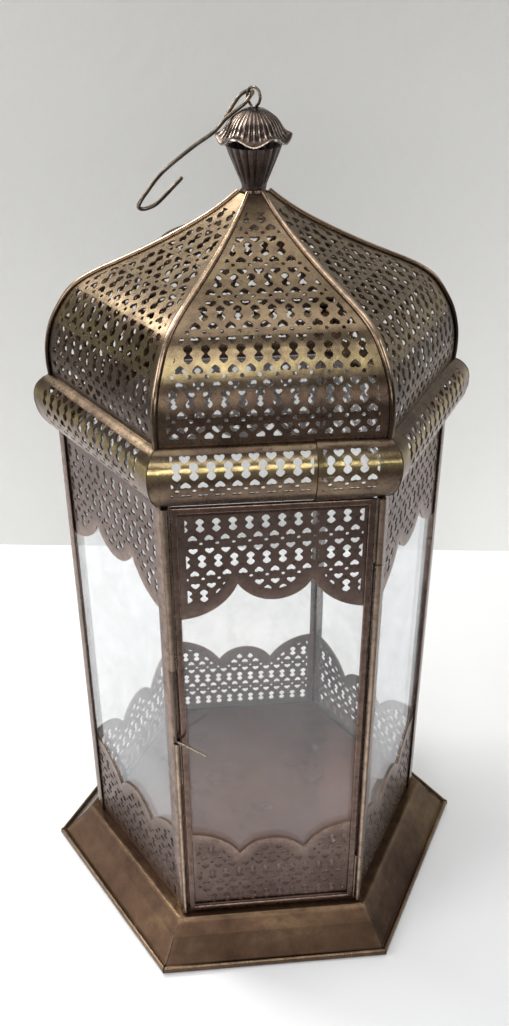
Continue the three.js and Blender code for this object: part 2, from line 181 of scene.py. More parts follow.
def metal(name, dark, mid, light, rough=(0.30, 0.52), wear_colour=(0.40, 0.26, 0.16), wear=0.7, patch=26.0,
          bump=0.25, dents=0.5, streak=False, pits=0.0, tarnish=0.0, point=0.0, specks=0.45, painted_belts=None, axis="Z"):
    """Aged metal: cloudy colour at two scales, grime specks, bright rubbed edges from the wear attribute (on some parts
    also a painted highlight) and from sharp convex shape, painted belts of light and shade along an axis, and
    roughness, scratches and dents from their own noises."""
    m, nt, out = new_mat(name)
    n = N(nt)
    tc = n.node("ShaderNodeTexCoord")
    vec = tc.outputs["Object"]
    big = n.noise(patch, 5.0, 0.6, vec, 0.6)
    fine = n.noise(patch * 9, 6.0, 0.65, vec)
    grain = n.noise(1500.0, 3.0, 0.6, vec)
    blend = n.math("ADD", n.math("MULTIPLY", big, 0.68), n.math("MULTIPLY", fine, 0.32))
    col = n.ramp(blend, [(0.30, dark), (0.50, mid), (0.70, light)])
    # grime specks
    grime = n.rng(n.noise(420.0, 2.0, 0.5, vec), 1.0, 0.0, 0.60, 0.70)
    col = n.mix(n.math("MULTIPLY", n.math("SUBTRACT", 1.0, grime), specks), col, tuple(0.35 * c for c in dark))
    if tarnish:
        spots = n.rng(n.noise(60.0, 4.0, 0.7, vec, 1.2), 0.0, tarnish, 0.52, 0.72)
        col = n.mix(spots, col, (0.030, 0.018, 0.012))
    # wear: rubbed edges; on the dome's turn, the band's crest and the tubes it is also a painted highlight
    att = n.node("ShaderNodeAttribute", attribute_name="wear")
    worn = att.outputs["Fac"]
    if point:
        geo = n.node("ShaderNodeNewGeometry")
        worn = n.math("MAXIMUM", worn, n.math("MULTIPLY", n.rng(geo.outputs["Pointiness"], 0.0, 1.0, 0.54, 0.64), point))
    worn = n.math("MULTIPLY", worn, n.rng(fine, 0.35, 1.15, 0.32, 0.62), clamp=True)
    worn = n.math("MULTIPLY", worn, wear, clamp=True)
    col = n.mix(worn, col, wear_colour)
    if painted_belts:
        # painted light and shade: darker and lighter belts along an axis, laid into the colour: [(metres from 0 to 0.5,
        # factor)]
        sep = n.node("ShaderNodeSeparateXYZ")
        n.link(vec, sep.inputs[0])
        at = n.math("ADD", n.math("MULTIPLY", sep.outputs[axis], 2.0), n.math("MULTIPLY", n.math("SUBTRACT", big, 0.5), 0.012))
        col = n.mix(1.0, col, n.ramp(at, [(2.0 * z, (f, f, f)) for z, f in painted_belts]), "MULTIPLY")
    # roughness
    rg = n.math("ADD", n.math("MULTIPLY", n.noise(patch * 2.2, 4.0, 0.6, vec), 0.6), n.math("MULTIPLY", grain, 0.4))
    ro = n.rng(rg, rough[0], rough[1], 0.3, 0.7)
    ro = n.math("SUBTRACT", ro, n.math("MULTIPLY", worn, 0.10))
    bs = n.node("ShaderNodeBsdfPrincipled")
    bs.inputs["Metallic"].default_value = 1.0
    n.link(col, bs.inputs["Base Color"])
    n.link(ro, bs.inputs["Roughness"])
    # bump: dents, then scratches and grain
    h1 = n.noise(38.0, 3.0, 0.5, vec)
    b1 = n.node("ShaderNodeBump")
    b1.inputs["Strength"].default_value = dents
    b1.inputs["Distance"].default_value = 0.0012
    n.link(h1, b1.inputs["Height"])
    if streak:
        mp = n.node("ShaderNodeMapping")
        mp.inputs["Scale"].default_value = (1.0, 1.0, 0.06)
        n.link(vec, mp.inputs["Vector"])
        h2 = n.noise(1900.0, 3.0, 0.7, mp.outputs["Vector"])
    else:
        h2 = n.noise(900.0, 4.0, 0.7, vec)
    b2 = n.node("ShaderNodeBump")
    b2.inputs["Strength"].default_value = bump
    b2.inputs["Distance"].default_value = 0.00012
    n.link(h2, b2.inputs["Height"])
    n.link(b1.outputs["Normal"], b2.inputs["Normal"])
    last = b2
    if pits:
        b3 = n.node("ShaderNodeBump")
        b3.inputs["Strength"].default_value = pits
        b3.inputs["Distance"].default_value = 0.0003
        n.link(n.rng(n.noise(260.0, 2.0, 0.4, vec), 0.0, 1.0, 0.25, 0.45), b3.inputs["Height"])
        n.link(b2.outputs["Normal"], b3.inputs["Normal"])
        last = b3
    n.link(last.outputs["Normal"], bs.inputs["Normal"])
    n.link(bs.outputs["BSDF"], out.inputs["Surface"])
    return m


def glass_mat(name, haze=0.05, tint=(0.965, 0.985, 0.98)):
    """Thin window glass: clear, fresnel reflection, a faint uneven film of dust."""
    m, nt, out = new_mat(name)
    n = N(nt)
    tc = n.node("ShaderNodeTexCoord")
    vec = tc.outputs["Object"]
    tr = n.node("ShaderNodeBsdfTransparent")
    tr.inputs["Color"].default_value = (*tint, 1)
    gl = n.node("ShaderNodeBsdfGlossy")
    gl.inputs["Color"].default_value = (0.95, 0.97, 1.0, 1)
    gl.inputs["Roughness"].default_value = 0.04
    front = n.node("ShaderNodeBsdfDiffuse")
    front.inputs["Color"].default_value = (0.88, 0.89, 0.90, 1)
    through = n.node("ShaderNodeBsdfTranslucent")
    through.inputs["Color"].default_value = (0.88, 0.89, 0.90, 1)
    film = n.node("ShaderNodeMixShader")
    film.inputs["Fac"].default_value = 0.5
    n.link(front.outputs["BSDF"], film.inputs[1])
    n.link(through.outputs["BSDF"], film.inputs[2])
    bump = n.node("ShaderNodeBump")
    bump.inputs["Strength"].default_value = 0.12
    bump.inputs["Distance"].default_value = 0.001
    n.link(n.noise(14.0, 2.0, 0.5, vec), bump.inputs["Height"])
    n.link(bump.outputs["Normal"], gl.inputs["Normal"])
    fr = n.node("ShaderNodeFresnel")
    side = n.node("ShaderNodeNewGeometry")
    n.link(n.rng(side.outputs["Backfacing"], 1.5, 1 / 1.5), fr.inputs["IOR"])
    n.link(bump.outputs["Normal"], fr.inputs["Normal"])
    mix1 = n.node("ShaderNodeMixShader")
    n.link(n.math("MULTIPLY", fr.outputs["Fac"], 0.9), mix1.inputs["Fac"])
    n.link(tr.outputs["BSDF"], mix1.inputs[1])
    n.link(gl.outputs["BSDF"], mix1.inputs[2])
    dust = n.rng(n.noise(22.0, 5.0, 0.65, vec, 0.8), haze * 0.4, haze * 1.6, 0.3, 0.7)
    smear = n.rng(n.noise(300.0, 3.0, 0.6, vec), 0.85, 1.15, 0.3, 0.7)
    mix2 = n.node("ShaderNodeMixShader")
    n.link(n.math("MULTIPLY", dust, smear), mix2.inputs["Fac"])
    n.link(mix1.outputs["Shader"], mix2.inputs[1])
    n.link(film.outputs["Shader"], mix2.inputs[2])
    n.link(mix2.outputs["Shader"], out.inputs["Surface"])
    return m


M = {}
M["bronze"] = metal("dark_bronze", (0.070, 0.046, 0.036), (0.150, 0.100, 0.080), (0.24, 0.165, 0.130), wear_colour=(0.42, 0.29, 0.21), point=0.6)
M["strip"] = metal("pierced_bronze", (0.092, 0.063, 0.054), (0.148, 0.105, 0.093), (0.210, 0.156, 0.137), rough=(0.26, 0.42), wear_colour=(0.37, 0.27, 0.22))
# the roof's belts are painted light and shade: a dark painted-shade belt under the turn, lighter towards the top
M["roof"] = metal("roof_brass", (0.074, 0.048, 0.038), (0.150, 0.101, 0.076), (0.246, 0.182, 0.115), rough=(0.20, 0.36), patch=16, wear_colour=(0.42, 0.345, 0.16), tarnish=0.5,
                  painted_belts=[(0.358, 0.85), (0.368, 0.50), (0.3815, 0.38), (0.3850, 0.72), (0.392, 0.76), (0.400, 0.95), (0.432, 0.95), (0.446, 1.15), (0.458, 1.4)])
# the band's belts are painted light and shade: darker at the top and the bottom, full colour across the middle
M["band"] = metal("band_brass", (0.088, 0.058, 0.045), (0.172, 0.120, 0.086), (0.285, 0.212, 0.130), rough=(0.18, 0.34), patch=20,
                  wear_colour=(0.54, 0.44, 0.19), tarnish=0.5,
                  painted_belts=[(0.316, 0.72), (0.328, 0.95), (0.338, 1.0), (0.345, 0.85), (0.352, 0.62)])
M["cut"] = metal("cut_edge", (0.07, 0.045, 0.030), (0.16, 0.11, 0.075), (0.30, 0.22, 0.15), rough=(0.3, 0.5), dents=0.0)
# the ribs' belts are painted shade and light: very dark at the foot, full colour high up, a little darker under the
# collar
M["rib"] = metal("rib_copper", (0.090, 0.055, 0.036), (0.190, 0.124, 0.084), (0.34, 0.235, 0.160), rough=(0.18, 0.32),
                 wear_colour=(0.78, 0.58, 0.40), wear=0.8,
                 painted_belts=[(0.364, 0.24), (0.382, 0.42), (0.402, 0.80), (0.425, 1.0), (0.455, 0.80)])
M["tray"] = metal("tray_brown", (0.037, 0.021, 0.014), (0.079, 0.048, 0.031), (0.158, 0.108, 0.058), rough=(0.24, 0.38), patch=12, wear_colour=(0.34, 0.24, 0.15), tarnish=0.35, specks=0.08)
# painted shade: the inner floor grows darker towards the back
M["floor"] = metal("inner_floor", (0.180, 0.098, 0.076), (0.222, 0.122, 0.097), (0.268, 0.156, 0.128), rough=(0.24, 0.36), patch=14, tarnish=0.12, dents=0.2, bump=0.12, specks=0.1,
                   painted_belts=[(0.012, 1.0), (0.045, 0.84), (0.080, 0.68)], axis="Y")
M["tube"] = metal("tube_copper", (0.070, 0.047, 0.035), (0.138, 0.098, 0.074), (0.23, 0.172, 0.130), rough=(0.20, 0.34), wear_colour=(0.58, 0.44, 0.33), wear=0.75, streak=True, point=0.4)
M["wire"] = metal("aged_wire", (0.024, 0.018, 0.014), (0.066, 0.050, 0.038), (0.155, 0.120, 0.090), rough=(0.18, 0.32), patch=60, wear_colour=(0.52, 0.43, 0.34), wear=0.45)
M["flower"] = metal("finial_bronze", (0.020, 0.015, 0.013), (0.052, 0.038, 0.032), (0.120, 0.090, 0.074), rough=(0.18, 0.32), patch=90, wear_colour=(0.82, 0.66, 0.54), wear=1.0)
M["solder"] = metal("solder", (0.06, 0.05, 0.04), (0.14, 0.115, 0.09), (0.27, 0.22, 0.18), rough=(0.35, 0.55))
M["glass"] = glass_mat("side_glass", 0.105, (0.990, 0.994, 0.996))
M["cup"] = metal("cup_bronze", (0.065, 0.052, 0.050), (0.125, 0.100, 0.096), (0.20, 0.165, 0.155), rough=(0.28, 0.44), patch=90, wear_colour=(0.38, 0.31, 0.27), wear=0.5)
M["door_glass"] = glass_mat("door_glass", 0.040, (0.990, 0.994, 0.994))


# ------------------------------------------------------------------- helpers
def make(name, verts, faces, mats, smooth=True, mat_index=None, wear=None, sharp=None):
    """Object from millimetre vertices. `sharp` is a set of vertex pairs kept crisp."""
    me = bpy.data.meshes.new(name)
    v = (np.asarray(verts, float) + (0, 0, LIFT)) * 0.001
    me.from_pydata(v.tolist(), [], [tuple(int(i) for i in f) for f in faces])
    for m in (mats if isinstance(mats, (list, tuple)) else [mats]):
        me.materials.append(m)
    me.polygons.foreach_set("use_smooth", [bool(smooth)] * len(me.polygons))
    if mat_index is not None:
        me.polygons.foreach_set("material_index", np.asarray(mat_index, np.int32))
    if wear is not None:
        a = me.attributes.new("wear", "FLOAT", "POINT")
        a.data.foreach_set("value", np.asarray(wear, np.float32))
    if sharp:
        ev = np.zeros(len(me.edges) * 2, np.int32)
        me.edges.foreach_get("vertices", ev)
        ev = ev.reshape(-1, 2)
        flags = [(min(a, b), max(a, b)) in sharp for a, b in ev.tolist()]
        at = me.attributes.get("sharp_edge") or me.attributes.new("sharp_edge", "BOOLEAN", "EDGE")
        at.data.foreach_set("value", flags)
    me.update()
    o = bpy.data.objects.new(name, me)
    bpy.context.scene.collection.objects.link(o)
    return o


def place(o, body, slot, *nodes):
    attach(o, body)
    if nodes:
        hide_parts(*nodes)
    return o


def auto_sharp(o, deg=35):
    """Marks edges sharper than deg, so smooth faces keep their creases."""
    me = o.data
    import bmesh
    bm = bmesh.new()
    bm.from_mesh(me)
    lim = d2r(deg)
    for e in bm.edges:
        if len(e.link_faces) == 2:
            e.smooth = e.calc_face_angle(0.0) < lim
    bm.to_mesh(me)
    bm.free()
    return o


def bake_modifiers(o):
    bpy.context.view_layer.update()
    dg = bpy.context.evaluated_depsgraph_get()
    me = bpy.data.meshes.new_from_object(o.evaluated_get(dg))
    old = o.data
    o.modifiers.clear()
    o.data = me
    bpy.data.meshes.remove(old)
    return o


def bevel(o, width, segments=2, angle=35):
    b = o.modifiers.new("bevel", "BEVEL")
    b.width = width * 0.001
    b.segments = segments
    b.limit_method = "ANGLE"
    b.angle_limit = d2r(angle)
    b.harden_normals = False
    bake_modifiers(o)
    auto_sharp(o, 50)
    return o


def sweep(path, section, closed=False, up=None, cap=True, scales=None):
    """Sweeps a closed 2-D section (x across, y outwards) along a path with frames that don't twist.
    Returns vertices and faces."""
    P = np.array(path, float)
    n, k = len(P), len(section)
    T = np.zeros_like(P)
    if closed:
        T = np.roll(P, -1, 0) - np.roll(P, 1, 0)
    else:
        T[1:-1] = P[2:] - P[:-2]
        T[0], T[-1] = P[1] - P[0], P[-1] - P[-2]
    T /= np.linalg.norm(T, axis=1)[:, None]
    N_ = np.zeros_like(P)
    ref = np.array(up if up is not None else ([0, 0, 1] if abs(T[0][2]) < 0.9 else [1, 0, 0]), float)
    N_[0] = ref - T[0] * (ref @ T[0])
    N_[0] /= np.linalg.norm(N_[0])
    for i in range(1, n):
        v = N_[i - 1] - T[i] * (N_[i - 1] @ T[i])
        N_[i] = v / np.linalg.norm(v)
    B = np.cross(T, N_)
    S = np.array(section, float)
    verts = []
    for i in range(n):
        sc = 1.0 if scales is None else scales[i]
        verts.append(P[i] + sc * (S[:, :1] * B[i] + S[:, 1:2] * N_[i]))
    verts = np.vstack(verts)
    faces = []
    for i in range(n if closed else n - 1):
        a, b = i * k, ((i + 1) % n) * k
        for j in range(k):
            j2 = (j + 1) % k
            faces.append((a + j, a + j2, b + j2, b + j))
    if cap and not closed:
        faces.append(tuple(range(k - 1, -1, -1)))
        faces.append(tuple(range((n - 1) * k, n * k)))
    return verts, faces


def circle(r, k, ry=None):
    ry = r if ry is None else ry
    return [(r * math.cos(2 * math.pi * i / k), ry * math.sin(2 * math.pi * i / k)) for i in range(k)]


def wire_mesh(path, r, k=16, step=0.6, up=None, flat_end=False):
    """Round wire with domed ends."""
    fine = resample(path, step)
    n_end = 5
    t0 = fine[0] - fine[1]
    t0 /= np.linalg.norm(t0)
    t1 = fine[-1] - fine[-2]
    t1 /= np.linalg.norm(t1)
    dome = 0.35 if flat_end else 1.0
    pre = [fine[0] + t0 * r * dome * math.sin(a) for a in np.linspace(math.pi / 2 * 0.98, 0.0, n_end + 1)[:-1]]
    post = [fine[-1] + t1 * r * dome * math.sin(a) for a in np.linspace(0.0, math.pi / 2 * 0.98, n_end + 1)[1:]]
    sc = [math.cos(a) for a in np.linspace(math.pi / 2 * 0.98, 0.0, n_end + 1)[:-1]]
    path2 = np.vstack([pre, fine, post])
    scales = np.concatenate([sc, np.ones(len(fine)), sc[::-1]])
    return sweep(path2, circle(r, k), up=up, scales=scales)


def join(parts):
    """Joins (verts, faces) lists."""
    V, F, off = [], [], 0
    for v, f in parts:
        V.append(np.asarray(v, float))
        F += [tuple(i + off for i in face) for face in f]
        off += len(v)
    return np.vstack(V), F


def lathe(profile, n=96, mod=None, closed=True):
    """Closed [r, z] profile turned about Z; mod(r, z, angle, index) may move a point."""
    V, F = [], []
    m = len(profile)
    for i in range(n):
        a = 2 * math.pi * i / n
        for j, (r, z) in enumerate(profile):
            rr, zz = (r, z) if mod is None else mod(r, z, a, j)
            V.append((rr * math.cos(a), rr * math.sin(a), zz))
    for i in range(n):
        i2 = (i + 1) % n
        for j in range(m if closed else m - 1):
            j2 = (j + 1) % m
            F.append((i * m + j, i2 * m + j, i2 * m + j2, i * m + j2))
    return np.array(V), F


def rot(v, deg):
    a = d2r(deg)
    c, s = math.cos(a), math.sin(a)
    v = np.asarray(v, float)
    return np.stack([v[:, 0] * c - v[:, 1] * s, v[:, 0] * s + v[:, 1] * c, v[:, 2]], 1)


# ------------------------------------------------------------- punched holes
PITCH, PERIOD = 8.27, 21.2


def arc_pts(cx, cy, r, a0, a1, n):
    return [(cx + r * math.cos(d2r(a)), cy + r * math.sin(d2r(a))) for a in np.linspace(a0, a1, n)]


def punch(kind):
    """Outlines of the four punches, counter-clockwise, centred."""
    if kind == "dumbbell":      # two blunt-pointed lobes with a waist
        q = [(0.72, 0.0), (1.15, 0.55), (1.85, 1.15), (2.13, 1.95), (1.92, 2.75), (1.25, 3.42), (0.55, 3.95), (0.0, 4.12)]
        right = [(x, -y) for x, y in q[::-1]][:-1] + q
        left = [(-x, -y) for x, y in right]
        return [p for p in right[:-1]] + [p for p in left[:-1]]
    if kind == "heart":         # point down, shallow notch on top
        right = [(0.0, -1.95), (0.62, -1.62), (1.38, -1.02), (2.02, -0.30), (2.32, 0.42), (2.25, 1.15), (1.75, 1.58), (1.05, 1.62), (0.42, 1.42), (0.0, 1.12)]
        return right + [(-x, y) for x, y in right[-2:0:-1]]
    if kind == "heart_up":
        return [(-x, -y) for x, y in punch("heart")]
    return circle(0.98, 10)


PUNCH = {k: np.array(punch(k)) for k in ("dumbbell", "heart", "heart_up", "dot")}


def pattern(u0, v0, umin, umax, vmin, vmax, flip=1, half=False):
    """Holes of the repeating punch pattern. A dumbbell sits at (u0, v0); flip -1 turns the pattern over."""
    out = []
    k0, k1 = int(math.floor((umin - u0) / PITCH)) - 1, int(math.ceil((umax - u0) / PITCH)) + 1
    m0, m1 = int(math.floor((vmin - v0) / PERIOD)) - 1, int(math.ceil((vmax - v0) / PERIOD)) + 1
    for m in range(m0, m1 + 1):
        for k in range(k0, k1 + 1):
            u, v = u0 + k * PITCH, v0 + m * PERIOD
            ub = u + PITCH / 2
            for kind, x, dy in (("dumbbell", u, 0.0), ("dot", u, 0.5), ("heart", ub, 0.30), ("heart_up", ub, -0.345)):
                y = v + flip * dy * PERIOD
                shape = PUNCH[kind] * (1, flip)
                if flip < 0:
                    shape = shape[::-1]
                out.append(shape + (x, y))
    return out


def area(p):
    x, y = p[:, 0], p[:, 1]
    return 0.5 * float(np.sum(x * np.roll(y, -1) - np.roll(x, -1) * y))


def clip_to(poly, dist):
    """The part of a hole where dist >= 0, cutting edges where dist changes sign."""
    d = dist(poly)
    if (d >= 0).all():
        return poly
    if (d < 0).all():
        return None
    out = []
    n = len(poly)
    for i in range(n):
        a, b, da, db = poly[i], poly[(i + 1) % n], d[i], d[(i + 1) % n]
        if da >= 0:
            out.append(a)
        if (da >= 0) != (db >= 0):
            t = da / (da - db)
            out.append(a + t * (b - a))
    out = np.array(out)
    if len(out) < 3 or abs(area(out)) < 1.1:
        return None
    return out


def tidy(poly, tol=0.12):
    """Drops points closer than tol, so walls have no slivers."""
    keep = [poly[0]]
    for p in poly[1:]:
        if np.hypot(*(p - keep[-1])) > tol:
            keep.append(p)
    if np.hypot(*(keep[0] - keep[-1])) < tol:
        keep.pop()
    return np.array(keep)


def inside_poly(pts, poly):
    x, y = pts[:, 0], pts[:, 1]
    x1, y1 = poly[:, 0], poly[:, 1]
    x2, y2 = np.roll(x1, -1), np.roll(y1, -1)
    res = np.zeros(len(pts), bool)
    for a, b, c, d in zip(x1, y1, x2, y2):
        cond = (b > y) != (d > y)
        if cond.any():
            xi = a + (y - b) * (c - a) / ((d - b) if d != b else 1e-12)
            res ^= cond & (x < xi)
    return res


def sheet2d(outline, holes, rows):
    """Triangles of a punched flat sheet in (u, v), cut along the rows so that it can be bent."""
    pts, edges = [], []

    def loop(poly):
        base = len(pts)
        pts.extend([tuple(p) for p in poly])
        m = len(poly)
        edges.extend([(base + i, base + (i + 1) % m) for i in range(m)])

    loop(outline)
    for h in holes:
        loop(h)
    umin, umax = outline[:, 0].min() - 1, outline[:, 0].max() + 1
    for r in rows:
        base = len(pts)
        pts.extend([(umin, float(r)), (umax, float(r))])
        edges.append((base, base + 1))
    v, _, f, *_ = delaunay_2d_cdt([Vector(p) for p in pts], edges, [], 0, 1e-5, False)
    V = np.array([(p[0], p[1]) for p in v])
    Fc = np.array([list(t) for t in f if len(t) == 3])
    cen = V[Fc].mean(1)
    keep = inside_poly(cen, outline)
    order = np.argsort(cen[:, 1])
    ys = cen[order, 1]
    for h in holes:
        lo, hi = np.searchsorted(ys, h[:, 1].min()), np.searchsorted(ys, h[:, 1].max())
        idx = order[lo:hi]
        idx = idx[(cen[idx, 0] > h[:, 0].min()) & (cen[idx, 0] < h[:, 0].max())]
        if len(idx):
            inn = inside_poly(cen[idx], h)
            keep[idx[inn]] = False
    Fc = Fc[keep]
    # counter-clockwise
    a, b, c = V[Fc[:, 0]], V[Fc[:, 1]], V[Fc[:, 2]]
    cr = (b[:, 0] - a[:, 0]) * (c[:, 1] - a[:, 1]) - (b[:, 1] - a[:, 1]) * (c[:, 0] - a[:, 0])
    good = np.abs(cr) > 1e-7
    Fc, cr = Fc[good], cr[good]
    Fc[cr < 0] = Fc[cr < 0][:, ::-1]
    used = np.unique(Fc)
    remap = -np.ones(len(V), int)
    remap[used] = np.arange(len(used))
    return V[used], remap[Fc]


def thicken(V2, F2, fmap, t, wear=None):
    """Front, back and walls of a bent sheet. fmap(u, v, w) gives millimetres, w measured outwards."""
    u, v = V2[:, 0], V2[:, 1]
    front = fmap(u, v, np.zeros(len(u)))
    back = fmap(u, v, np.full(len(u), -t))
    n = len(V2)
    faces = [tuple(f) for f in F2.tolist()] + [(c + n, b + n, a + n) for a, b, c in F2.tolist()]
    idx = [0] * (2 * len(F2))
    count = {}
    for a, b, c in F2.tolist():
        for e in ((a, b), (b, c), (c, a)):
            count[e] = count.get(e, 0) + 1
    sharp = set()
    for (a, b) in list(count):
        if (b, a) not in count:
            faces.append((b, a, a + n, b + n))
            idx.append(1)
            sharp.add((min(a, b), max(a, b)))
            sharp.add((min(a, b) + n, max(a, b) + n))
    w = None if wear is None else np.concatenate([wear, wear * 0.3])
    return np.vstack([front, back]), faces, idx, sharp, w


def face_map(plane):
    """Flat wall panel: u across (seen from outside, to the right), v up."""
    def f(u, v, w):
        return np.stack([u, -(plane + w), v], 1)
    return f


def meridian_map(mer, lift=0.0, off=0.0):
    def f(u, v, w):
        r, z, na, nz = mer.at(v)
        a = r * C30 + na * (w + lift)
        return np.stack([u, -a, z + nz * (w + lift)], 1)
    return f


# ---------------------------------------------------------------------- base
def hex_ring(profile, nu=26, closed=True, seed=0.0, amp=0.12):
    """Closed (corner radius, z) profile carried round the hexagon with straight sides."""
    V, F, m = [], [], len(profile)
    dirs = [(math.cos(d2r(60 * i)), math.sin(d2r(60 * i))) for i in range(6)]
    for i in range(6):
        c0, c1 = dirs[i], dirs[(i + 1) % 6]
        for t in np.linspace(0, 1, nu, endpoint=False):
            q = t
            x, y = c0[0] * (1 - q) + c1[0] * q, c0[1] * (1 - q) + c1[1] * q
            edge = min(1.0, 12.0 * min(q, 1 - q))
            for (r, z) in profile:
                w = amp * edge * noise.noise(Vector((x * 5 + seed, y * 5, z * 0.05)))
                V.append((r * x * (1 + w / 130), r * y * (1 + w / 130), z + 0.7 * w * (1 if 2.5 < z < 23 else 0)))
    n = 6 * nu
    for i in range(n):
        i2 = (i + 1) % n
        for j in range(m if closed else m - 1):
            j2 = (j + 1) % m
            F.append((i * m + j, i2 * m + j, i2 * m + j2, i * m + j2))
    return np.array(V), F


def fillet(poly, radius, n=5, closed=True):
    """Rounds the corners of a 2-D polygon; radius may be a number or a list."""
    P = [np.array(p, float) for p in poly]
    m = len(P)
    out = []
    for i in range(m):
        r = radius[i] if isinstance(radius, (list, tuple)) else radius
        if not closed and i in (0, m - 1) or r <= 0:
            out.append(tuple(P[i]))
            continue
        a, b, c = P[i - 1], P[i], P[(i + 1) % m]
        u, v = a - b, c - b
        lu, lv = np.linalg.norm(u), np.linalg.norm(v)
        u, v = u / lu, v / lv
        ang = math.acos(max(-1, min(1, float(u @ v))))
        d = min(r / math.tan(ang / 2), 0.48 * lu, 0.48 * lv)
        p0, p1 = b + u * d, b + v * d
        for t in np.linspace(0, 1, n):
            out.append(tuple((1 - t) ** 2 * p0 + 2 * t * (1 - t) * b + t * t * p1))
    return out


def build_base():
    outer = [(129.2, -3.0), (139.4, -3.0), (140.45, -2.0), (140.45, 1.3), (139.7, 2.15), (138.2, 2.15), (137.3, 1.3),
             (136.4, 1.8), (131.0, 7.4), (125.0, 13.8), (119.4, 20.6), (117.4, 23.35), (115.2, 23.4), (101.1, 23.4)]
    inner = [(101.1, 22.5), (116.6, 22.5), (118.6, 19.8), (124.2, 12.9), (130.2, 6.5), (136.2, 0.6), (136.9, -2.0), (129.2, -2.1)]
    rr = [0.2, 0.6, 0.9, 0.9, 0.7, 0.7, 0.5, 0.6, 4, 4, 4, 1.1, 0.8, 0.15] + [0.15, 1.0, 1.5, 2, 2, 1.2, 0.4, 0.2]
    prof = fillet(outer + inner, rr, 5)
    prof = prof[::-1]
    V, F = hex_ring(prof, 34)
    # worn lines: the rim's top edge, the ledge's edge and the mitres
    r = np.hypot(V[:, 0], V[:, 1])
    ang = np.degrees(np.arctan2(V[:, 1], V[:, 0])) % 60
    rc = r * np.cos(np.radians(ang - 30)) / C30
    z = V[:, 2]
    wear = np.zeros(len(V))
    wear += np.exp(-((rc - 139.9) ** 2 + (z - 1.9) ** 2) / 0.7) * 0.8
    wear += np.exp(-((rc - 117.4) ** 2 + (z - 23.3) ** 2) / 1.2) * 0.3
    wear += np.exp(-((rc - 140.2) ** 2 + (z + 2.2) ** 2) / 0.7) * 0.4
    corner = np.minimum(ang, 60 - ang)
    wear = np.maximum(wear, 0.15 * np.exp(-(corner / 0.35) ** 2) * (z > 1.5))
    o = make("pan_body", V, F, M["tray"], wear=np.clip(wear, 0, 1))
    auto_sharp(o, 30)
    o.data.materials.append(M["tray"])
    place(o, "lantern_body", "tray_metal", "base_skirt")
    # soldered mitre at each corner of the rim
    parts = []
    for i in range(6):
        a = d2r(60 * i)
        path = [(140.05, 0, -1.9), (140.25, 0, 0.0), (139.9, 0, 1.9), (138.6, 0, 2.25), (137.4, 0, 1.8), (134.0, 0, 4.3), (128.0, 0, 10.6), (121.5, 0, 18.0)]
        path = [(x * math.cos(a), x * math.sin(a), z) for x, _, z in path]
        fine = resample(path, 0.8)
        sc = np.array([0.55 + 0.45 * noise.noise(Vector((k * 0.35, i * 7.1, 0.3))) + (0.7 if k < 9 else 0.0) for k in range(len(fine))])
        sc *= np.clip(np.arange(len(fine))[::-1] / 10.0, 0.15, 1) * np.clip((np.arange(len(fine)) + 1) / 2.0, 0.3, 1)
        parts.append(sweep(fine, circle(0.62, 10, 0.42), scales=np.clip(sc, 0.12, 1.15)))
    V, F = join(parts)
    place(make("pan_mitre_solder", V, F, M["seam"]), "lantern_body", "tray_metal")


def hex_plate(name, rc, z0, z1, mat, body, slot, node, lip=0.0):
    """Hexagonal plate with rounded edges and a pressed line inside the edge."""
    top = [(0.0, z1), (0.3, z1), (0.6, z1), (0.9, z1), (0.955, z1), (0.965, z1 - lip), (0.975, z1), (0.992, z1), (1.0, z1 - 0.25), (1.0, z0 + 0.25), (0.996, z0), (0.6, z0), (0.0, z0)]
    V, F, nu = [], [], 12
    ring = []
    dirs = [(math.cos(d2r(60 * i)), math.sin(d2r(60 * i))) for i in range(6)]
    for i in range(6):
        for t in np.linspace(0, 1, nu, endpoint=False):
            ring.append((dirs[i][0] * (1 - t) + dirs[(i + 1) % 6][0] * t, dirs[i][1] * (1 - t) + dirs[(i + 1) % 6][1] * t))
    n = len(ring)
    levels = top[1:-1]
    for f, z in levels:
        for x, y in ring:
            w = 0.0
            V.append((rc * f * x, rc * f * y, z + w))
    c0, c1 = len(V), len(V) + 1
    V += [(0, 0, z1), (0, 0, z0)]
    for j in range(len(levels) - 1):
        for i in range(n):
            i2 = (i + 1) % n
            F.append((j * n + i, (j + 1) * n + i, (j + 1) * n + i2, j * n + i2))
    L = (len(levels) - 1) * n
    for i in range(n):
        i2 = (i + 1) % n
        F.append((c0, i, i2))
        F.append((c1, L + i2, L + i))
    o = make(name, V, F, mat)
    auto_sharp(o, 40)
    return place(o, body, slot, node)


# --------------------------------------------------------------------- posts
def bent_post(leg_a, leg_b, t=1.0, rb=1.3):
    """V section opening inwards, corner at the origin pointing to +X: fillet outside and inside."""
    def leg(sign, l):
        return np.array((-0.5 * l, sign * C30 * l))

    def nrm(sign):
        return np.array((-C30 * t, -sign * 0.5 * t))
    a, b = leg(-1, leg_a), leg(1, leg_b)
    poly = [b, b + nrm(1), (-t / C30, 0), a + nrm(-1), a, (0, 0)]
    return fillet([tuple(p) for p in poly], [0.3, 0.3, rb - 0.9, 0.3, 0.3, rb], 6)


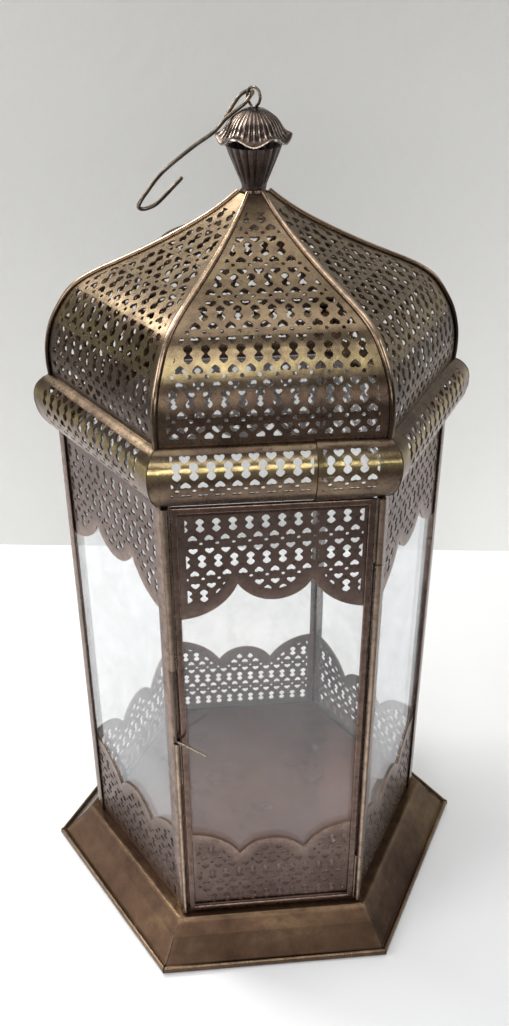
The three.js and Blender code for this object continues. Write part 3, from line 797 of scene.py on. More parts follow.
def build_posts():
    foot, top = 23.75, 316.95
    zs = np.concatenate([[foot, foot + 0.4], np.linspace(foot + 8, top - 8, 34), [top - 0.4, top]])
    for k, (name, deg) in enumerate(CORNERS.items()):
        if name == "front_right":
            sec, cx, cy = bent_post(4.5, 6.4), 56.64, -95.9
        elif name == "front_left":
            sec, cx, cy = bent_post(6.4, 4.5), -56.64, -95.9
        else:
            sec, cx, cy = bent_post(5.9, 5.9), 112 * math.cos(d2r(deg)), 112 * math.sin(d2r(deg))
        S = np.array(sec)
        ca, sa = math.cos(d2r(deg)), math.sin(d2r(deg))
        V, m = [], len(S)
        for z in zs:
            w = 0.10 * noise.noise(Vector((z * 0.03, k * 3.7, 1.0)))
            w2 = 0.10 * noise.noise(Vector((z * 0.03, k * 3.7, 9.0)))
            for x, y in S:
                V.append((cx + (x - 0.05) * ca - y * sa + w, cy + (x - 0.05) * sa + y * ca + w2, z))
        F = []
        for j in range(len(zs) - 1):
            for i in range(m):
                i2 = (i + 1) % m
                F.append((j * m + i2, j * m + i, (j + 1) * m + i, (j + 1) * m + i2))
        F.append(tuple(range(m)))
        F.append(tuple(range(len(zs) * m - 1, (len(zs) - 1) * m - 1, -1)))
        wear = np.tile(np.exp(-(np.hypot(S[:, 0] + 0.3, S[:, 1]) / 1.3) ** 2) * 0.8 + 0.25 * (np.hypot(S[:, 0], S[:, 1]) > 5.4), len(zs))
        o = make(f"post_{name}", V, F, M["post"], wear=wear)
        auto_sharp(o, 40)
        place(o, "lantern_body", "dark_bronze", f"corner_post_{name}")


# -------------------------------------------------------------- wall panels
def slab(name, x0, x1, z0, z1, y0, y1, mat, bev, nx=6, nz=14, seed=0.0, amp=0.0):
    """Rounded-edge pane standing on the front face; y0 is the outer plane (larger)."""
    xs, zs = np.linspace(x0, x1, nx + 1), np.linspace(z0, z1, nz + 1)
    V, F = [], []
    for y in (y0, y1):
        for z in zs:
            for x in xs:
                w = amp * noise.noise(Vector((x * 0.02 + seed, z * 0.02, 0.0)))
                V.append((x, -(y + w), z))
    n1, m = (nx + 1) * (nz + 1), nx + 1
    for j in range(nz):
        for i in range(nx):
            a = j * m + i
            F.append((a, a + 1, a + m + 1, a + m))
            F.append((n1 + a, n1 + a + m, n1 + a + m + 1, n1 + a + 1))
    for i in range(nx):
        F.append((i + 1, i, n1 + i, n1 + i + 1))
        b = nz * m + i
        F.append((b, b + 1, n1 + b + 1, n1 + b))
    for j in range(nz):
        a = j * m
        F.append((a, a + m, n1 + a + m, n1 + a))
        b = j * m + nx
        F.append((b + m, b, n1 + b, n1 + b + m))
    o = make(name, V, F, mat, smooth=True)
    bevel(o, bev, 2, 60)
    return o


def turn(o, deg):
    """Turns the mesh (not the object) about Z."""
    o.data.transform(Matrix.Rotation(d2r(deg), 4, "Z"))
    return o


def copy_turned(o, name, deg):
    me = o.data.copy()
    me.name = name
    c = bpy.data.objects.new(name, me)
    bpy.context.scene.collection.objects.link(c)
    me.transform(Matrix.Rotation(d2r(deg), 4, "Z"))
    return c


def scallop_edge(half, cusp, mid, side, n_mid=34, n_side=20):
    """The lobed edge from left to right: circular arcs meeting in cusps."""
    cx = 19.5
    sag = mid - cusp
    R = (cx * cx + sag * sag) / (2 * abs(sag))
    sgn = 1 if sag > 0 else -1
    xs = np.linspace(-cx, cx, n_mid)
    arc = [(x, mid - sgn * (R - math.sqrt(R * R - x * x))) for x in xs]
    sx, sz = half - cx, side - cusp
    rr = (sx * sx + sz * sz) / (2 * abs(sz))
    sg = 1 if sz > 0 else -1
    side_pts = [(x, side - sg * (rr - math.sqrt(max(0, rr * rr - (half - x) ** 2)))) for x in np.linspace(cx, half, n_side)[1:]]
    return [(-x, z) for x, z in side_pts[::-1]] + arc + side_pts


def seg_dist(p, line):
    a, b = line[:-1], line[1:]
    d = b - a
    L = (d ** 2).sum(1)
    out = np.full(len(p), 1e9)
    for i in range(len(a)):
        t = np.clip(((p - a[i]) @ d[i]) / L[i], 0, 1)
        out = np.minimum(out, np.hypot(*(p - (a[i] + t[:, None] * d[i])).T))
    return out


def strip_sheet(name, half, straight, cusp, mid, side, plane, t, zone, v0, border=6.3, clip_edge=None, tilt=0.0, shift=(0.0, 0.0)):
    """A scalloped, punched strip. The scalloped edge is below the straight one if cusp < straight."""
    top = straight > cusp
    edge = scallop_edge(half, cusp, mid, side)
    ct, st = math.cos(d2r(tilt)), math.sin(d2r(tilt))
    vm = 0.5 * (straight + cusp)

    def skew(p):
        p = np.asarray(p, float)
        return np.stack([p[:, 0] * ct - (p[:, 1] - vm) * st + shift[0], p[:, 0] * st + (p[:, 1] - vm) * ct + vm + shift[1]], 1)
    if tilt:
        E = skew(edge)
        us = np.linspace(-half, half, len(edge))
        us = np.unique(np.concatenate([us, E[1:-1, 0]]))
        us = us[(us >= -half) & (us <= half)]
        edge = [(float(x), float(np.interp(x, E[:, 0], E[:, 1]))) for x in us]
    outline = edge + [(half, straight), (-half, straight)] if top else edge[::-1] + [(-half, straight), (half, straight)]
    outline = np.array(outline)
    E = np.array(edge)

    def d_edge(p):
        e = np.interp(p[:, 0], E[:, 0], E[:, 1])
        s = np.where((p[:, 1] > e) == top, 1.0, -1.0)
        return s * seg_dist(p, E) - border

    lo, hi = (min(cusp, mid, side), straight) if top else (straight, max(cusp, mid, side))
    holes = []
    flip = 1 if top else -1
    lim = clip_edge
    za, zb = zone if isinstance(zone, tuple) else (-zone, zone)
    for h in pattern(PITCH / 2, v0, za, zb, lo, hi, flip):
        if tilt:
            h = skew(h)
        if h[:, 0].min() > zb or h[:, 0].max() < za:
            continue
        if top and h[:, 1].max() > lim or (not top and h[:, 1].min() < lim):
            continue
        if h[:, 1].min() < lo or h[:, 1].max() > hi:
            if (h[:, 1].mean() < lo - 2) or (h[:, 1].mean() > hi + 2):
                continue
        h = clip_to(h, lambda p: zb - p[:, 0])
        if h is None:
            continue
        h = clip_to(h, lambda p: p[:, 0] - za)
        if h is None:
            continue
        h = clip_to(h, d_edge)
        if h is None:
            continue
        h = tidy(h)
        if len(h) >= 3 and abs(area(h)) > 0.9:
            holes.append(h if area(h) > 0 else h[::-1])
    V2, F2 = sheet2d(outline, holes, [])
    d = seg_dist(V2, E)
    wear = np.clip(0.75 * np.exp(-(d / 0.5) ** 2), 0, 1)
    V, F, idx, sharp, w = thicken(V2, F2, face_map(plane), t, wear)
    return make(name, V, F, [M["strip"], M["cut"]], True, idx, w, sharp)


def build_walls():
    first = True
    for name, deg in FACES.items():
        if name == "front":
            continue
        if first:
            glass = slab("pane_glass", -52.4, 52.4, 24.0, 316.6, 94.55, 92.65, M["glass"], 0.35)
            turn(glass, deg + 90)
            glass.name = f"pane_glass_{name}"
            up = strip_sheet("up", 53.4, 316.6, 270.3, 258.9, 250.2, 95.68, 0.75, 48.6, 306.9, clip_edge=313.0)
            lo = strip_sheet("lo", 53.4, 23.8, 71.1, 81.9, 90.1, 95.68, 0.75, 48.6, 32.1, clip_edge=27.0)
            g0, u0, l0, d0 = glass, up, lo, deg
            turn(up, deg + 90)
            turn(lo, deg + 90)
            up.name, lo.name = f"upper_lace_{name}", f"lower_lace_{name}"
            g, u, l = glass, up, lo
            first = False
        else:
            g = copy_turned(g0, f"pane_glass_{name}", deg - d0)
            u = copy_turned(u0, f"upper_lace_{name}", deg - d0)
            l = copy_turned(l0, f"lower_lace_{name}", deg - d0)
        place(g, "lantern_body", "clear_glass", f"glass_pane_{name}")
        place(u, "lantern_body", "pierced_sheet", f"top_strip_{name}")
        place(l, "lantern_body", "pierced_sheet", f"bottom_strip_{name}")


# ---------------------------------------------------------------------- door
def frame_mesh(x0, x1, z0, z1, sect, nz=24, nx=10):
    """Mitred rectangular frame. sect: closed (inset from the outer edge, depth y) section, y measured outwards."""
    S = np.array(sect)
    corners = [(x0, z0, 1, 1), (x1, z0, -1, 1), (x1, z1, -1, -1), (x0, z1, 1, -1)]
    pts = []
    for i in range(4):
        a, b = corners[i], corners[(i + 1) % 4]
        n = nx if i % 2 == 0 else nz
        for t in np.linspace(0, 1, n, endpoint=False):
            pts.append((a[0] + (b[0] - a[0]) * t, a[1] + (b[1] - a[1]) * t, i, t))
    V, m = [], len(S)
    inward = [(0, 1), (-1, 0), (0, -1), (1, 0)]
    for (x, z, i, t) in pts:
        for s, y in S:
            dx, dz = inward[i]
            ax, az = x + dx * s, z + dz * s
            if t == 0.0:
                pdx, pdz = inward[i - 1]
                ax, az = x + (dx + pdx) * s, z + (dz + pdz) * s
            V.append((ax, -y, az))
    F, n = [], len(pts)
    for k in range(n):
        k2 = (k + 1) % n
        for j in range(m):
            j2 = (j + 1) % m
            F.append((k * m + j, k2 * m + j, k2 * m + j2, k * m + j2))
    # inset rows between mitres must stop at the mitre line
    V = np.array(V)
    cx0, cx1, cz0, cz1 = x0, x1, z0, z1
    for k, (x, z, i, t) in enumerate(pts):
        for j, (s, y) in enumerate(S):
            v = V[k * m + j]
            v[0] = min(max(v[0], cx0 + (s if i != 3 or True else 0)), cx1 - s) if i in (0, 2) else v[0]
            v[2] = min(max(v[2], cz0 + s), cz1 - s) if i in (1, 3) else v[2]
    return V, F


def leaf_tube(cx, cy, r, bore, leaf_x, leaf_y, leaf_t, z0, z1, n=28, nz=12, seed=0, slit=None):
    """Tube with a fillet-brazed leaf to x = leaf_x. Returns verts, faces."""
    parts = []
    # tube shell with chamfered lips
    prof = [(bore, z0 + 0.15), (bore + 0.15, z0), (r - 0.25, z0), (r, z0 + 0.25)]
    prof += [(r, z) for z in np.linspace(z0 + 4, z1 - 4, nz)]
    prof += [(r, z1 - 0.25), (r - 0.25, z1), (bore + 0.15, z1), (bore, z1 - 0.15)]
    V, F = lathe(prof, n)
    w = np.array([noise.noise(Vector((z * 0.04, seed, 5.0))) for z in V[:, 2]]) * 0.05
    V[:, 0] += cx + w
    V[:, 1] += cy
    parts.append((V, F))
    if leaf_x is not None:
        # leaf: thin strip from the tube's side to the stile, with rounded outer edge
        s = 1 if leaf_x > cx else -1
        x_in = cx + s * (r - 0.35)
        x_out = leaf_x
        y0, y1 = leaf_y, leaf_y + leaf_t
        sec = fillet([(x_in, -y0), (x_out, -y0), (x_out, -y1 + 0.0), (x_in, -y1)], [0, 0.2, 0.2, 0], 4)
        S = np.array(sec)
        if area(S) < 0:
            S = S[::-1]
        zs = [z0 + 0.3] + list(np.linspace(z0 + 4, z1 - 4, nz)) + [z1 - 0.3]
        m = len(S)
        LV = [(x, y, z) for z in zs for x, y in S]
        LF = []
        for j in range(len(zs) - 1):
            for i in range(m):
                i2 = (i + 1) % m
                LF.append((j * m + i, j * m + i2, (j + 1) * m + i2, (j + 1) * m + i))
        LF.append(tuple(range(m - 1, -1, -1)))
        LF.append(tuple(range((len(zs) - 1) * m, len(zs) * m)))
        parts.append((np.array(LV), LF))
    return join(parts)


def tube_obj(name, body, node, V, F, mat, cx, cy, r):
    """Worn line along the side of the tube that faces out, also a painted highlight on that side."""
    a = np.arctan2(V[:, 1] - cy, V[:, 0] - cx)
    d = np.abs(np.angle(np.exp(1j * (a - d2r(-100)))))
    rad = np.hypot(V[:, 0] - cx, V[:, 1] - cy)
    # the bright line faces one fixed direction on every tube: a painted highlight as well as wear
    wear = np.where(rad > r * 0.9, np.exp(-(d / 0.36) ** 2), 0) * 0.95
    o = make(name, V, F, mat, wear=wear)
    auto_sharp(o, 38)
    return place(o, body, "worn_edge", node)


def build_door():
    z0, z1 = 24.35, 316.15
    # folded channel frame: bright rolled outer edge, flat face, rolled inner edge
    sect = fillet([(0.0, 96.3), (0.0, 97.9), (3.65, 97.9), (3.65, 96.3)], [0.35, 0.75, 0.75, 0.35], 5)
    V, F = frame_mesh(-51.65, 51.65, z0, z1, sect, 40, 16)
    me_wear = np.zeros(len(V))
    S = np.array(sect)
    wv = np.exp(-((S[:, 0] - 0.2) ** 2 + (S[:, 1] - 97.8) ** 2) / 0.5) * 0.6 + np.exp(-((S[:, 0] - 3.5) ** 2 + (S[:, 1] - 97.8) ** 2) / 0.4) * 0.6
    me_wear = np.tile(wv, len(V) // len(S))
    # wider rails at the top and the bottom, set just behind the frame's lip
    o = make("door_rails", V, F, M["post"], wear=me_wear)
    auto_sharp(o, 35)
    place(o, "door", "dark_bronze", "door_frame")
    for nm, a, b in (("door_rail_low", z0 + 3.2, z0 + 5.3), ("door_rail_high", z1 - 5.4, z1 - 3.2)):
        r = slab(nm, -48.4, 48.4, a, b, 97.5, 96.35, M["post"], 0.3, 14, 2)
        place(r, "door", "dark_bronze")
    up = strip_sheet("door_lace_upper", 50.5, 316.0, 270.3, 258.9, 250.2, 96.18, 0.75, (-44.4, 46.2), 306.5, clip_edge=312.4, tilt=1.3, shift=(0.7, -1.0))
    place(up, "door", "pierced_sheet", "door_top_strip")
    lo = strip_sheet("door_lace_lower", 50.5, 25.0, 71.1, 81.9, 90.1, 96.18, 0.75, (-46.0, 46.0), 33.9, clip_edge=29.0, tilt=1.1, shift=(0.7, 0.0))
    place(lo, "door", "pierced_sheet", "door_bottom_strip")
    g = slab("door_pane", -50.3, 50.3, 25.0, 316.0, 94.75, 92.85, M["door_glass"], 0.35)
    place(g, "door", "clear_glass", "door_glass")

    hx, hy, lx, ly = 54.6, -98.2, -54.3, -98.2
    for nm, node, a, b, body in (("knuckle_low", "hinge_knuckle_lower", 24.35, 62.9, "door"),
                                 ("knuckle_high", "hinge_knuckle_upper", 278.1, 316.65, "door")):
        V, F = leaf_tube(hx, hy, 1.93, 1.15, 51.75, 96.95, 1.0, a, b, seed=3)
        tube_obj(nm, body, node, V, F, M["tube"], hx, hy, 1.93)
    V, F = leaf_tube(hx, hy, 1.93, 1.15, None, 0, 0, 63.35, 277.65, nz=30, seed=8)
    tube_obj("hinge_barrel", "lantern_body", "hinge_sleeve", V, F, M["tube"], hx, hy, 1.93)
    V, F = wire_mesh([(hx, hy, 24.6), (hx, hy, 120), (hx, hy, 220), (hx, hy, 316.4)], 0.8, 14, 4.0)
    place(make("pin_wire", V, F, M["wire"]), "lantern_body", "wire", "hinge_pin")
    for nm, node, a, b in (("latch_sleeve_high", "latch_tube_upper", 217.0, 316.65),
                           ("latch_sleeve_short", "latch_tube_short", 133.05, 164.95)):
        V, F = leaf_tube(lx, ly, 1.93, 1.15, -51.75, 96.95, 1.0, a, b, seed=5)
        tube_obj(nm, "door", node, V, F, M["tube"], lx, ly, 1.93)
    V, F = leaf_tube(lx, ly, 1.58, 1.1, None, 0, 0, 24.6, 132.65, nz=20, seed=11)
    # the post's tube under the short sleeve
    tube_obj("latch_keeper", "lantern_body", "latch_tube_post", V, F, M["tube"], lx, ly, 1.58)

    # drop bolt: straight wire, handle brazed on at a right angle
    bolt = wire_mesh([(lx, ly, 133.45), (lx, ly, 165), (lx + 0.05, ly, 200), (lx, ly, 239.9)], 0.83, 16, 3.0)
    tip = np.array((-37.9, -112.4, 166.4))
    root = np.array((lx, ly, 166.4))
    d = (tip - root) / np.linalg.norm(tip - root)
    L = np.linalg.norm(tip - root)
    path = [root + d * 0.2, root + d * (L * 0.35) + (0, 0, 0.10), root + d * (L * 0.7) + (0, 0, 0.05), root + d * (L - 0.85)]
    handle = wire_mesh(path, 0.93, 16, 0.8)
    blob_v, blob_f = lathe([(0.0, -1.25), (0.6, -1.1), (1.0, -0.6), (1.12, 0.0), (1.0, 0.6), (0.6, 1.1), (0.0, 1.25)], 18, closed=False)
    blob_v = blob_v + root
    V, F = join([bolt, handle, (blob_v, blob_f)])
    wear = np.zeros(len(V))
    dist = (V - root) @ d
    wear = np.where(np.hypot(V[:, 0] - lx, V[:, 1] - ly) > 2, 0.6 + 0.4 * (dist > L - 2), 0.15)
    o = make("drop_bolt", V, F, M["wire"], wear=wear)
    auto_sharp(o, 60)
    place(o, "latch_bolt", "wire", "latch_bolt")


# ---------------------------------------------------------------- roof, band
def punched_bent(name, outline, holes, mer, t, mats, wear_fn, extra=None, rows_step=2.65):
    rows = np.arange(outline[:, 1].min() + rows_step * 0.5, outline[:, 1].max(), rows_step)
    V2, F2 = sheet2d(outline, holes, rows)
    fm = meridian_map(mer)
    if extra is not None:
        base = fm
        fm = lambda u, v, w: base(u, v, w + extra(u, v))
    V, F, idx, sharp, w = thicken(V2, F2, fm, t, wear_fn(V2))
    return make(name, V, F, mats, True, idx, w, sharp)


def scaled_pattern(u0, v0, umin, umax, vmin, vmax, pitch=8.25, period=21.2, offset=None):
    global PITCH, PERIOD
    out = []
    big = {"dumbbell": (1.03, 1.17), "heart": (1.10, 1.12), "heart_up": (1.10, 1.12), "dot": (1.1, 1.1)}
    for m in range(int((vmin - v0) // period) - 1, int((vmax - v0) // period) + 2):
        for k in range(int((umin - u0) // pitch) - 1, int((umax - u0) // pitch) + 2):
            for kind, dx, dy in (("dumbbell", 0, 0.0), ("dot", 0, 0.5), ("heart", 0.5, 0.30), ("heart_up", 0.5, -0.345)):
                c = (u0 + (k + dx) * pitch, v0 + (m + dy) * period)
                out.append(PUNCH[kind] * big[kind] + c)
    return out


def clip_all(holes, tests, least=1.1):
    out = []
    for h in holes:
        for f in tests:
            h = clip_to(h, f)
            if h is None:
                break
        if h is None:
            continue
        h = tidy(h)
        if len(h) >= 3 and abs(area(h)) > least:
            out.append(h if area(h) > 0 else h[::-1])
    return out


def build_band():
    L = BAND.length
    s_db = float(np.interp(340.4, BAND.z, BAND.s))
    gap = 0.18

    def side(s):
        return np.interp(s, BAND.s, BAND.r) / 2 - gap

    ss = np.linspace(0, L, 40)

    def outline(umin=None, umax=None):
        hw = side(ss)
        right = [(min(h, umax) if umax is not None else h, s) for h, s in zip(hw, ss)]
        left = [(max(-h, umin) if umin is not None else -h, s) for h, s in zip(hw, ss)]
        return np.array(right + left[::-1])

    def wear(V2):
        s = V2[:, 1]
        z = np.interp(s, BAND.s, BAND.z)
        # the crest is rubbed brass and also a painted highlight along the band's middle
        crest = np.exp(-((z - 341.0) / 3.2) ** 2) * 0.85
        rim = np.exp(-(s / 0.7) ** 2) * 0.6 + np.exp(-((L - s) / 0.5) ** 2) * 0.5
        return np.clip(crest + rim, 0, 1)

    def holes_for(u0, lo, hi):
        hs = scaled_pattern(u0, s_db, lo, hi, 0, L)
        tests = [lambda p: (s_db + 9.1) - p[:, 1], lambda p: p[:, 1] - (s_db - 14.35),
                 lambda p: hi - p[:, 0], lambda p: p[:, 0] - lo]
        return clip_all(hs, tests, 0.9)

    mats = [M["band"], M["cut"]]
    # plain segment used on five faces
    base = punched_bent("band_s", outline(), holes_for(1.2, -50.3, 50.3), BAND, 0.75, mats, wear)
    d0 = None
    for name, deg in FACES.items():
        if name == "front":
            continue
        if d0 is None:
            turn(base, deg + 90)
            base.name, d0, o = f"cornice_{name}", deg, base
        else:
            o = copy_turned(base, f"cornice_{name}", deg - d0)
        place(o, "lantern_body", "pierced_brass", f"band_segment_{name}")
    # the front segment is two lengths lapped and soldered at the right
    seam = 20.3
    left = punched_bent("front_l", outline(umax=seam + 0.9), holes_for(2.2, -50.3, seam - 1.9), BAND, 0.75, mats, wear)
    lift = lambda u, v: 0.95 * np.exp(-np.clip(u - seam, 0, 99) / 9.0)
    ol = outline(umin=seam)
    right = punched_bent("front_r", ol, holes_for(2.2 + 8.25 * 2 + 7.6, seam + 2.6, 50.3), BAND, 0.75, mats, wear, extra=lift)
    o = merge("cornice_front", [left, right])
    place(o, "lantern_body", "pierced_brass", "band_segment_front")
    # solder along the lap's foot
    pts = []
    for s in np.linspace(0.8, L - 0.8, 26):
        r, z, na, nz = BAND.at(s)
        pts.append((seam - 0.1, -(r * C30 + na * 0.25), z + nz * 0.25))
    sc = np.array([0.75 + 0.5 * noise.noise(Vector((k * 0.5, 2.0, 1.0))) for k in range(26)])
    V, F = sweep(np.array(pts), circle(0.34, 8, 0.3), scales=sc)
    place(make("cornice_lap_solder", V, F, M["seam"]), "lantern_body", "pierced_brass")
    # mitre seams
    parts = []
    for i in range(6):
        pts = []
        for s in np.linspace(0.5, L - 0.5, 30):
            r, z, na, nz = BAND.at(s)
            pts.append((r - 0.15, 0, z))
        pts = rot(np.array(pts), 60 * i)
        sc = np.array([0.7 + 0.45 * noise.noise(Vector((k * 0.45, i * 3.3, 4.0))) for k in range(30)])
        parts.append(sweep(pts, circle(0.42, 8), scales=sc))
    V, F = join(parts)
    place(make("cornice_mitre_solder", V, F, M["seam"]), "lantern_body", "pierced_brass")


def merge(name, objs):
    """Joins meshes of several objects into a new one, keeping materials, wear and sharp edges."""
    import bmesh
    bm = bmesh.new()
    mats = []
    for o in objs:
        for m in o.data.materials:
            if m not in mats:
                mats.append(m)
    for o in objs:
        remap = [mats.index(m) for m in o.data.materials]
        n0 = len(bm.faces)
        bm.from_mesh(o.data)
        bm.faces.ensure_lookup_table()
        for f in bm.faces[n0:]:
            f.material_index = remap[f.material_index]
    me = bpy.data.meshes.new(name)
    bm.to_mesh(me)
    bm.free()
    for m in mats:
        me.materials.append(m)
    for o in objs:
        old = o.data
        bpy.data.objects.remove(o)
        bpy.data.meshes.remove(old)
    new = bpy.data.objects.new(name, me)
    bpy.context.scene.collection.objects.link(new)
    return new


def build_roof():
    L = ROOF.length
    ss = np.linspace(0.15, L - 1.0, 90)
    gap = 0.5

    def half(s):
        return np.interp(s, ROOF.s, ROOF.r) / 2 - gap

    outline = np.array([(max(half(s), 0.6), s) for s in ss] + [(-max(half(s), 0.6), s) for s in ss[::-1]])
    v_db = ROOF.s_of_z(352.0)
    v_clip = ROOF.s_of_z(353.1)
    border = 5.2

    def wear(V2):
        z = np.interp(V2[:, 1], ROOF.s, ROOF.z)
        # rubbed brass round the dome's turn, which is also a painted highlight there; lighter wear above
        turn_rub_and_sheen = np.exp(-((z - 386.5) / 6.0) ** 2) * 0.8
        return np.clip(turn_rub_and_sheen + 0.25 * (z > 392), 0, 1)

    def rim(s):
        return half(s) - border + 2.4 * np.clip((22.0 - half(s)) / 12.0, 0, 1)

    tests = [lambda p: p[:, 1] - v_clip, lambda p: rim(p[:, 1]) - p[:, 0],
             lambda p: rim(p[:, 1]) + p[:, 0], lambda p: (L - 11.5) - p[:, 1]]
    mats = [M["roof"], M["cut"]]
    protos = {}
    for key, u0 in (("a", 1.8), ("b", 4.9)):
        hs = clip_all(scaled_pattern(u0, v_db, -58, 58, 0, L, 8.2), tests, 1.2)
        protos[key] = punched_bent(f"roof_{key}", outline, hs, ROOF, 0.8, mats, wear)
    use = {"front": "a", "front_right": "b", "back_right": "a", "back": "b", "back_left": "a", "front_left": "b"}
    taken = set()
    for name, deg in FACES.items():
        key = use[name]
        o = copy_turned(protos[key], f"dome_leaf_{name}", deg + 90)
        place(o, "lantern_body", "pierced_brass", f"roof_panel_{name}")
    for p in protos.values():
        me = p.data
        bpy.data.objects.remove(p)
        bpy.data.meshes.remove(me)

    # ribs: half-round strips over the joints, running down to the band and up under the finial
    sec = [(1.8 * math.cos(a), 1.4 * math.sin(a) - 0.2) for a in np.linspace(d2r(-12), d2r(192), 15)]
    sec = sec[::-1] + [(1.5, -0.75), (-1.5, -0.75)][::1]
    sec = np.array(sec)
    if area(sec) < 0:
        sec = sec[::-1]
    for k, (name, deg) in enumerate(CORNERS.items()):
        n = 120
        s = np.linspace(0.0, L, n)
        r, z, na, nz = ROOF.at(s)
        # normal of the corner line itself
        dr, dz = np.gradient(r), np.gradient(z)
        l = np.hypot(dr, dz)
        nr, nzz = dz / l, -dr / l
        off = 0.35
        P = np.stack([r + nr * off, np.zeros(n), z + nzz * off], 1)
        P[:, 1] += [0.22 * noise.noise(Vector((v * 0.02, k * 5.0, 0.0))) for v in s]
        V = []
        for i in range(n):
            taper = 1.0 - 0.45 * max(0.0, (s[i] - (L - 40)) / 40)
            bump = 1.0 + 0.05 * noise.noise(Vector((s[i] * 0.09, k * 5.0, 3.0)))
            for a, b in sec:
                V.append((P[i, 0] + nr[i] * b * bump, P[i, 1] + a * taper * bump, P[i, 2] + nzz[i] * b * bump))
        m = len(sec)
        F = []
        for i in range(n - 1):
            for j in range(m):
                j2 = (j + 1) % m
                F.append((i * m + j, i * m + j2, (i + 1) * m + j2, (i + 1) * m + j))
        F.append(tuple(range(m - 1, -1, -1)))
        F.append(tuple(range((n - 1) * m, n * m)))
        wear_ = np.tile(np.exp(-((sec[:, 0]) / 1.15) ** 2) * (sec[:, 1] > 0.2), n)
        V = rot(np.array(V), deg)
        o = make(f"rib_strip_{name}", V, F, M["rib"], wear=wear_)
        auto_sharp(o, 45)
        place(o, "lantern_body", "worn_edge", f"roof_rib_{name}")

    # upper edge ring where the ribs run together
    def lobes(r, z, a, j):
        f = 1 + 0.10 * math.cos(6 * a)
        return (r * f if r > 3.2 else r, z)
    prof = fillet([(3.0, 443.1), (6.0, 443.1), (6.15, 445.3), (5.6, 446.85), (3.0, 446.85)], [0.2, 0.6, 0.9, 0.6, 0.2], 4)
    V, F = lathe(prof, 60, lobes)
    V[:, :2] *= 0.94
    o = make("collar", V, F, M["bronze"])
    auto_sharp(o, 45)
    place(o, "lantern_body", "dark_bronze", "roof_crown")


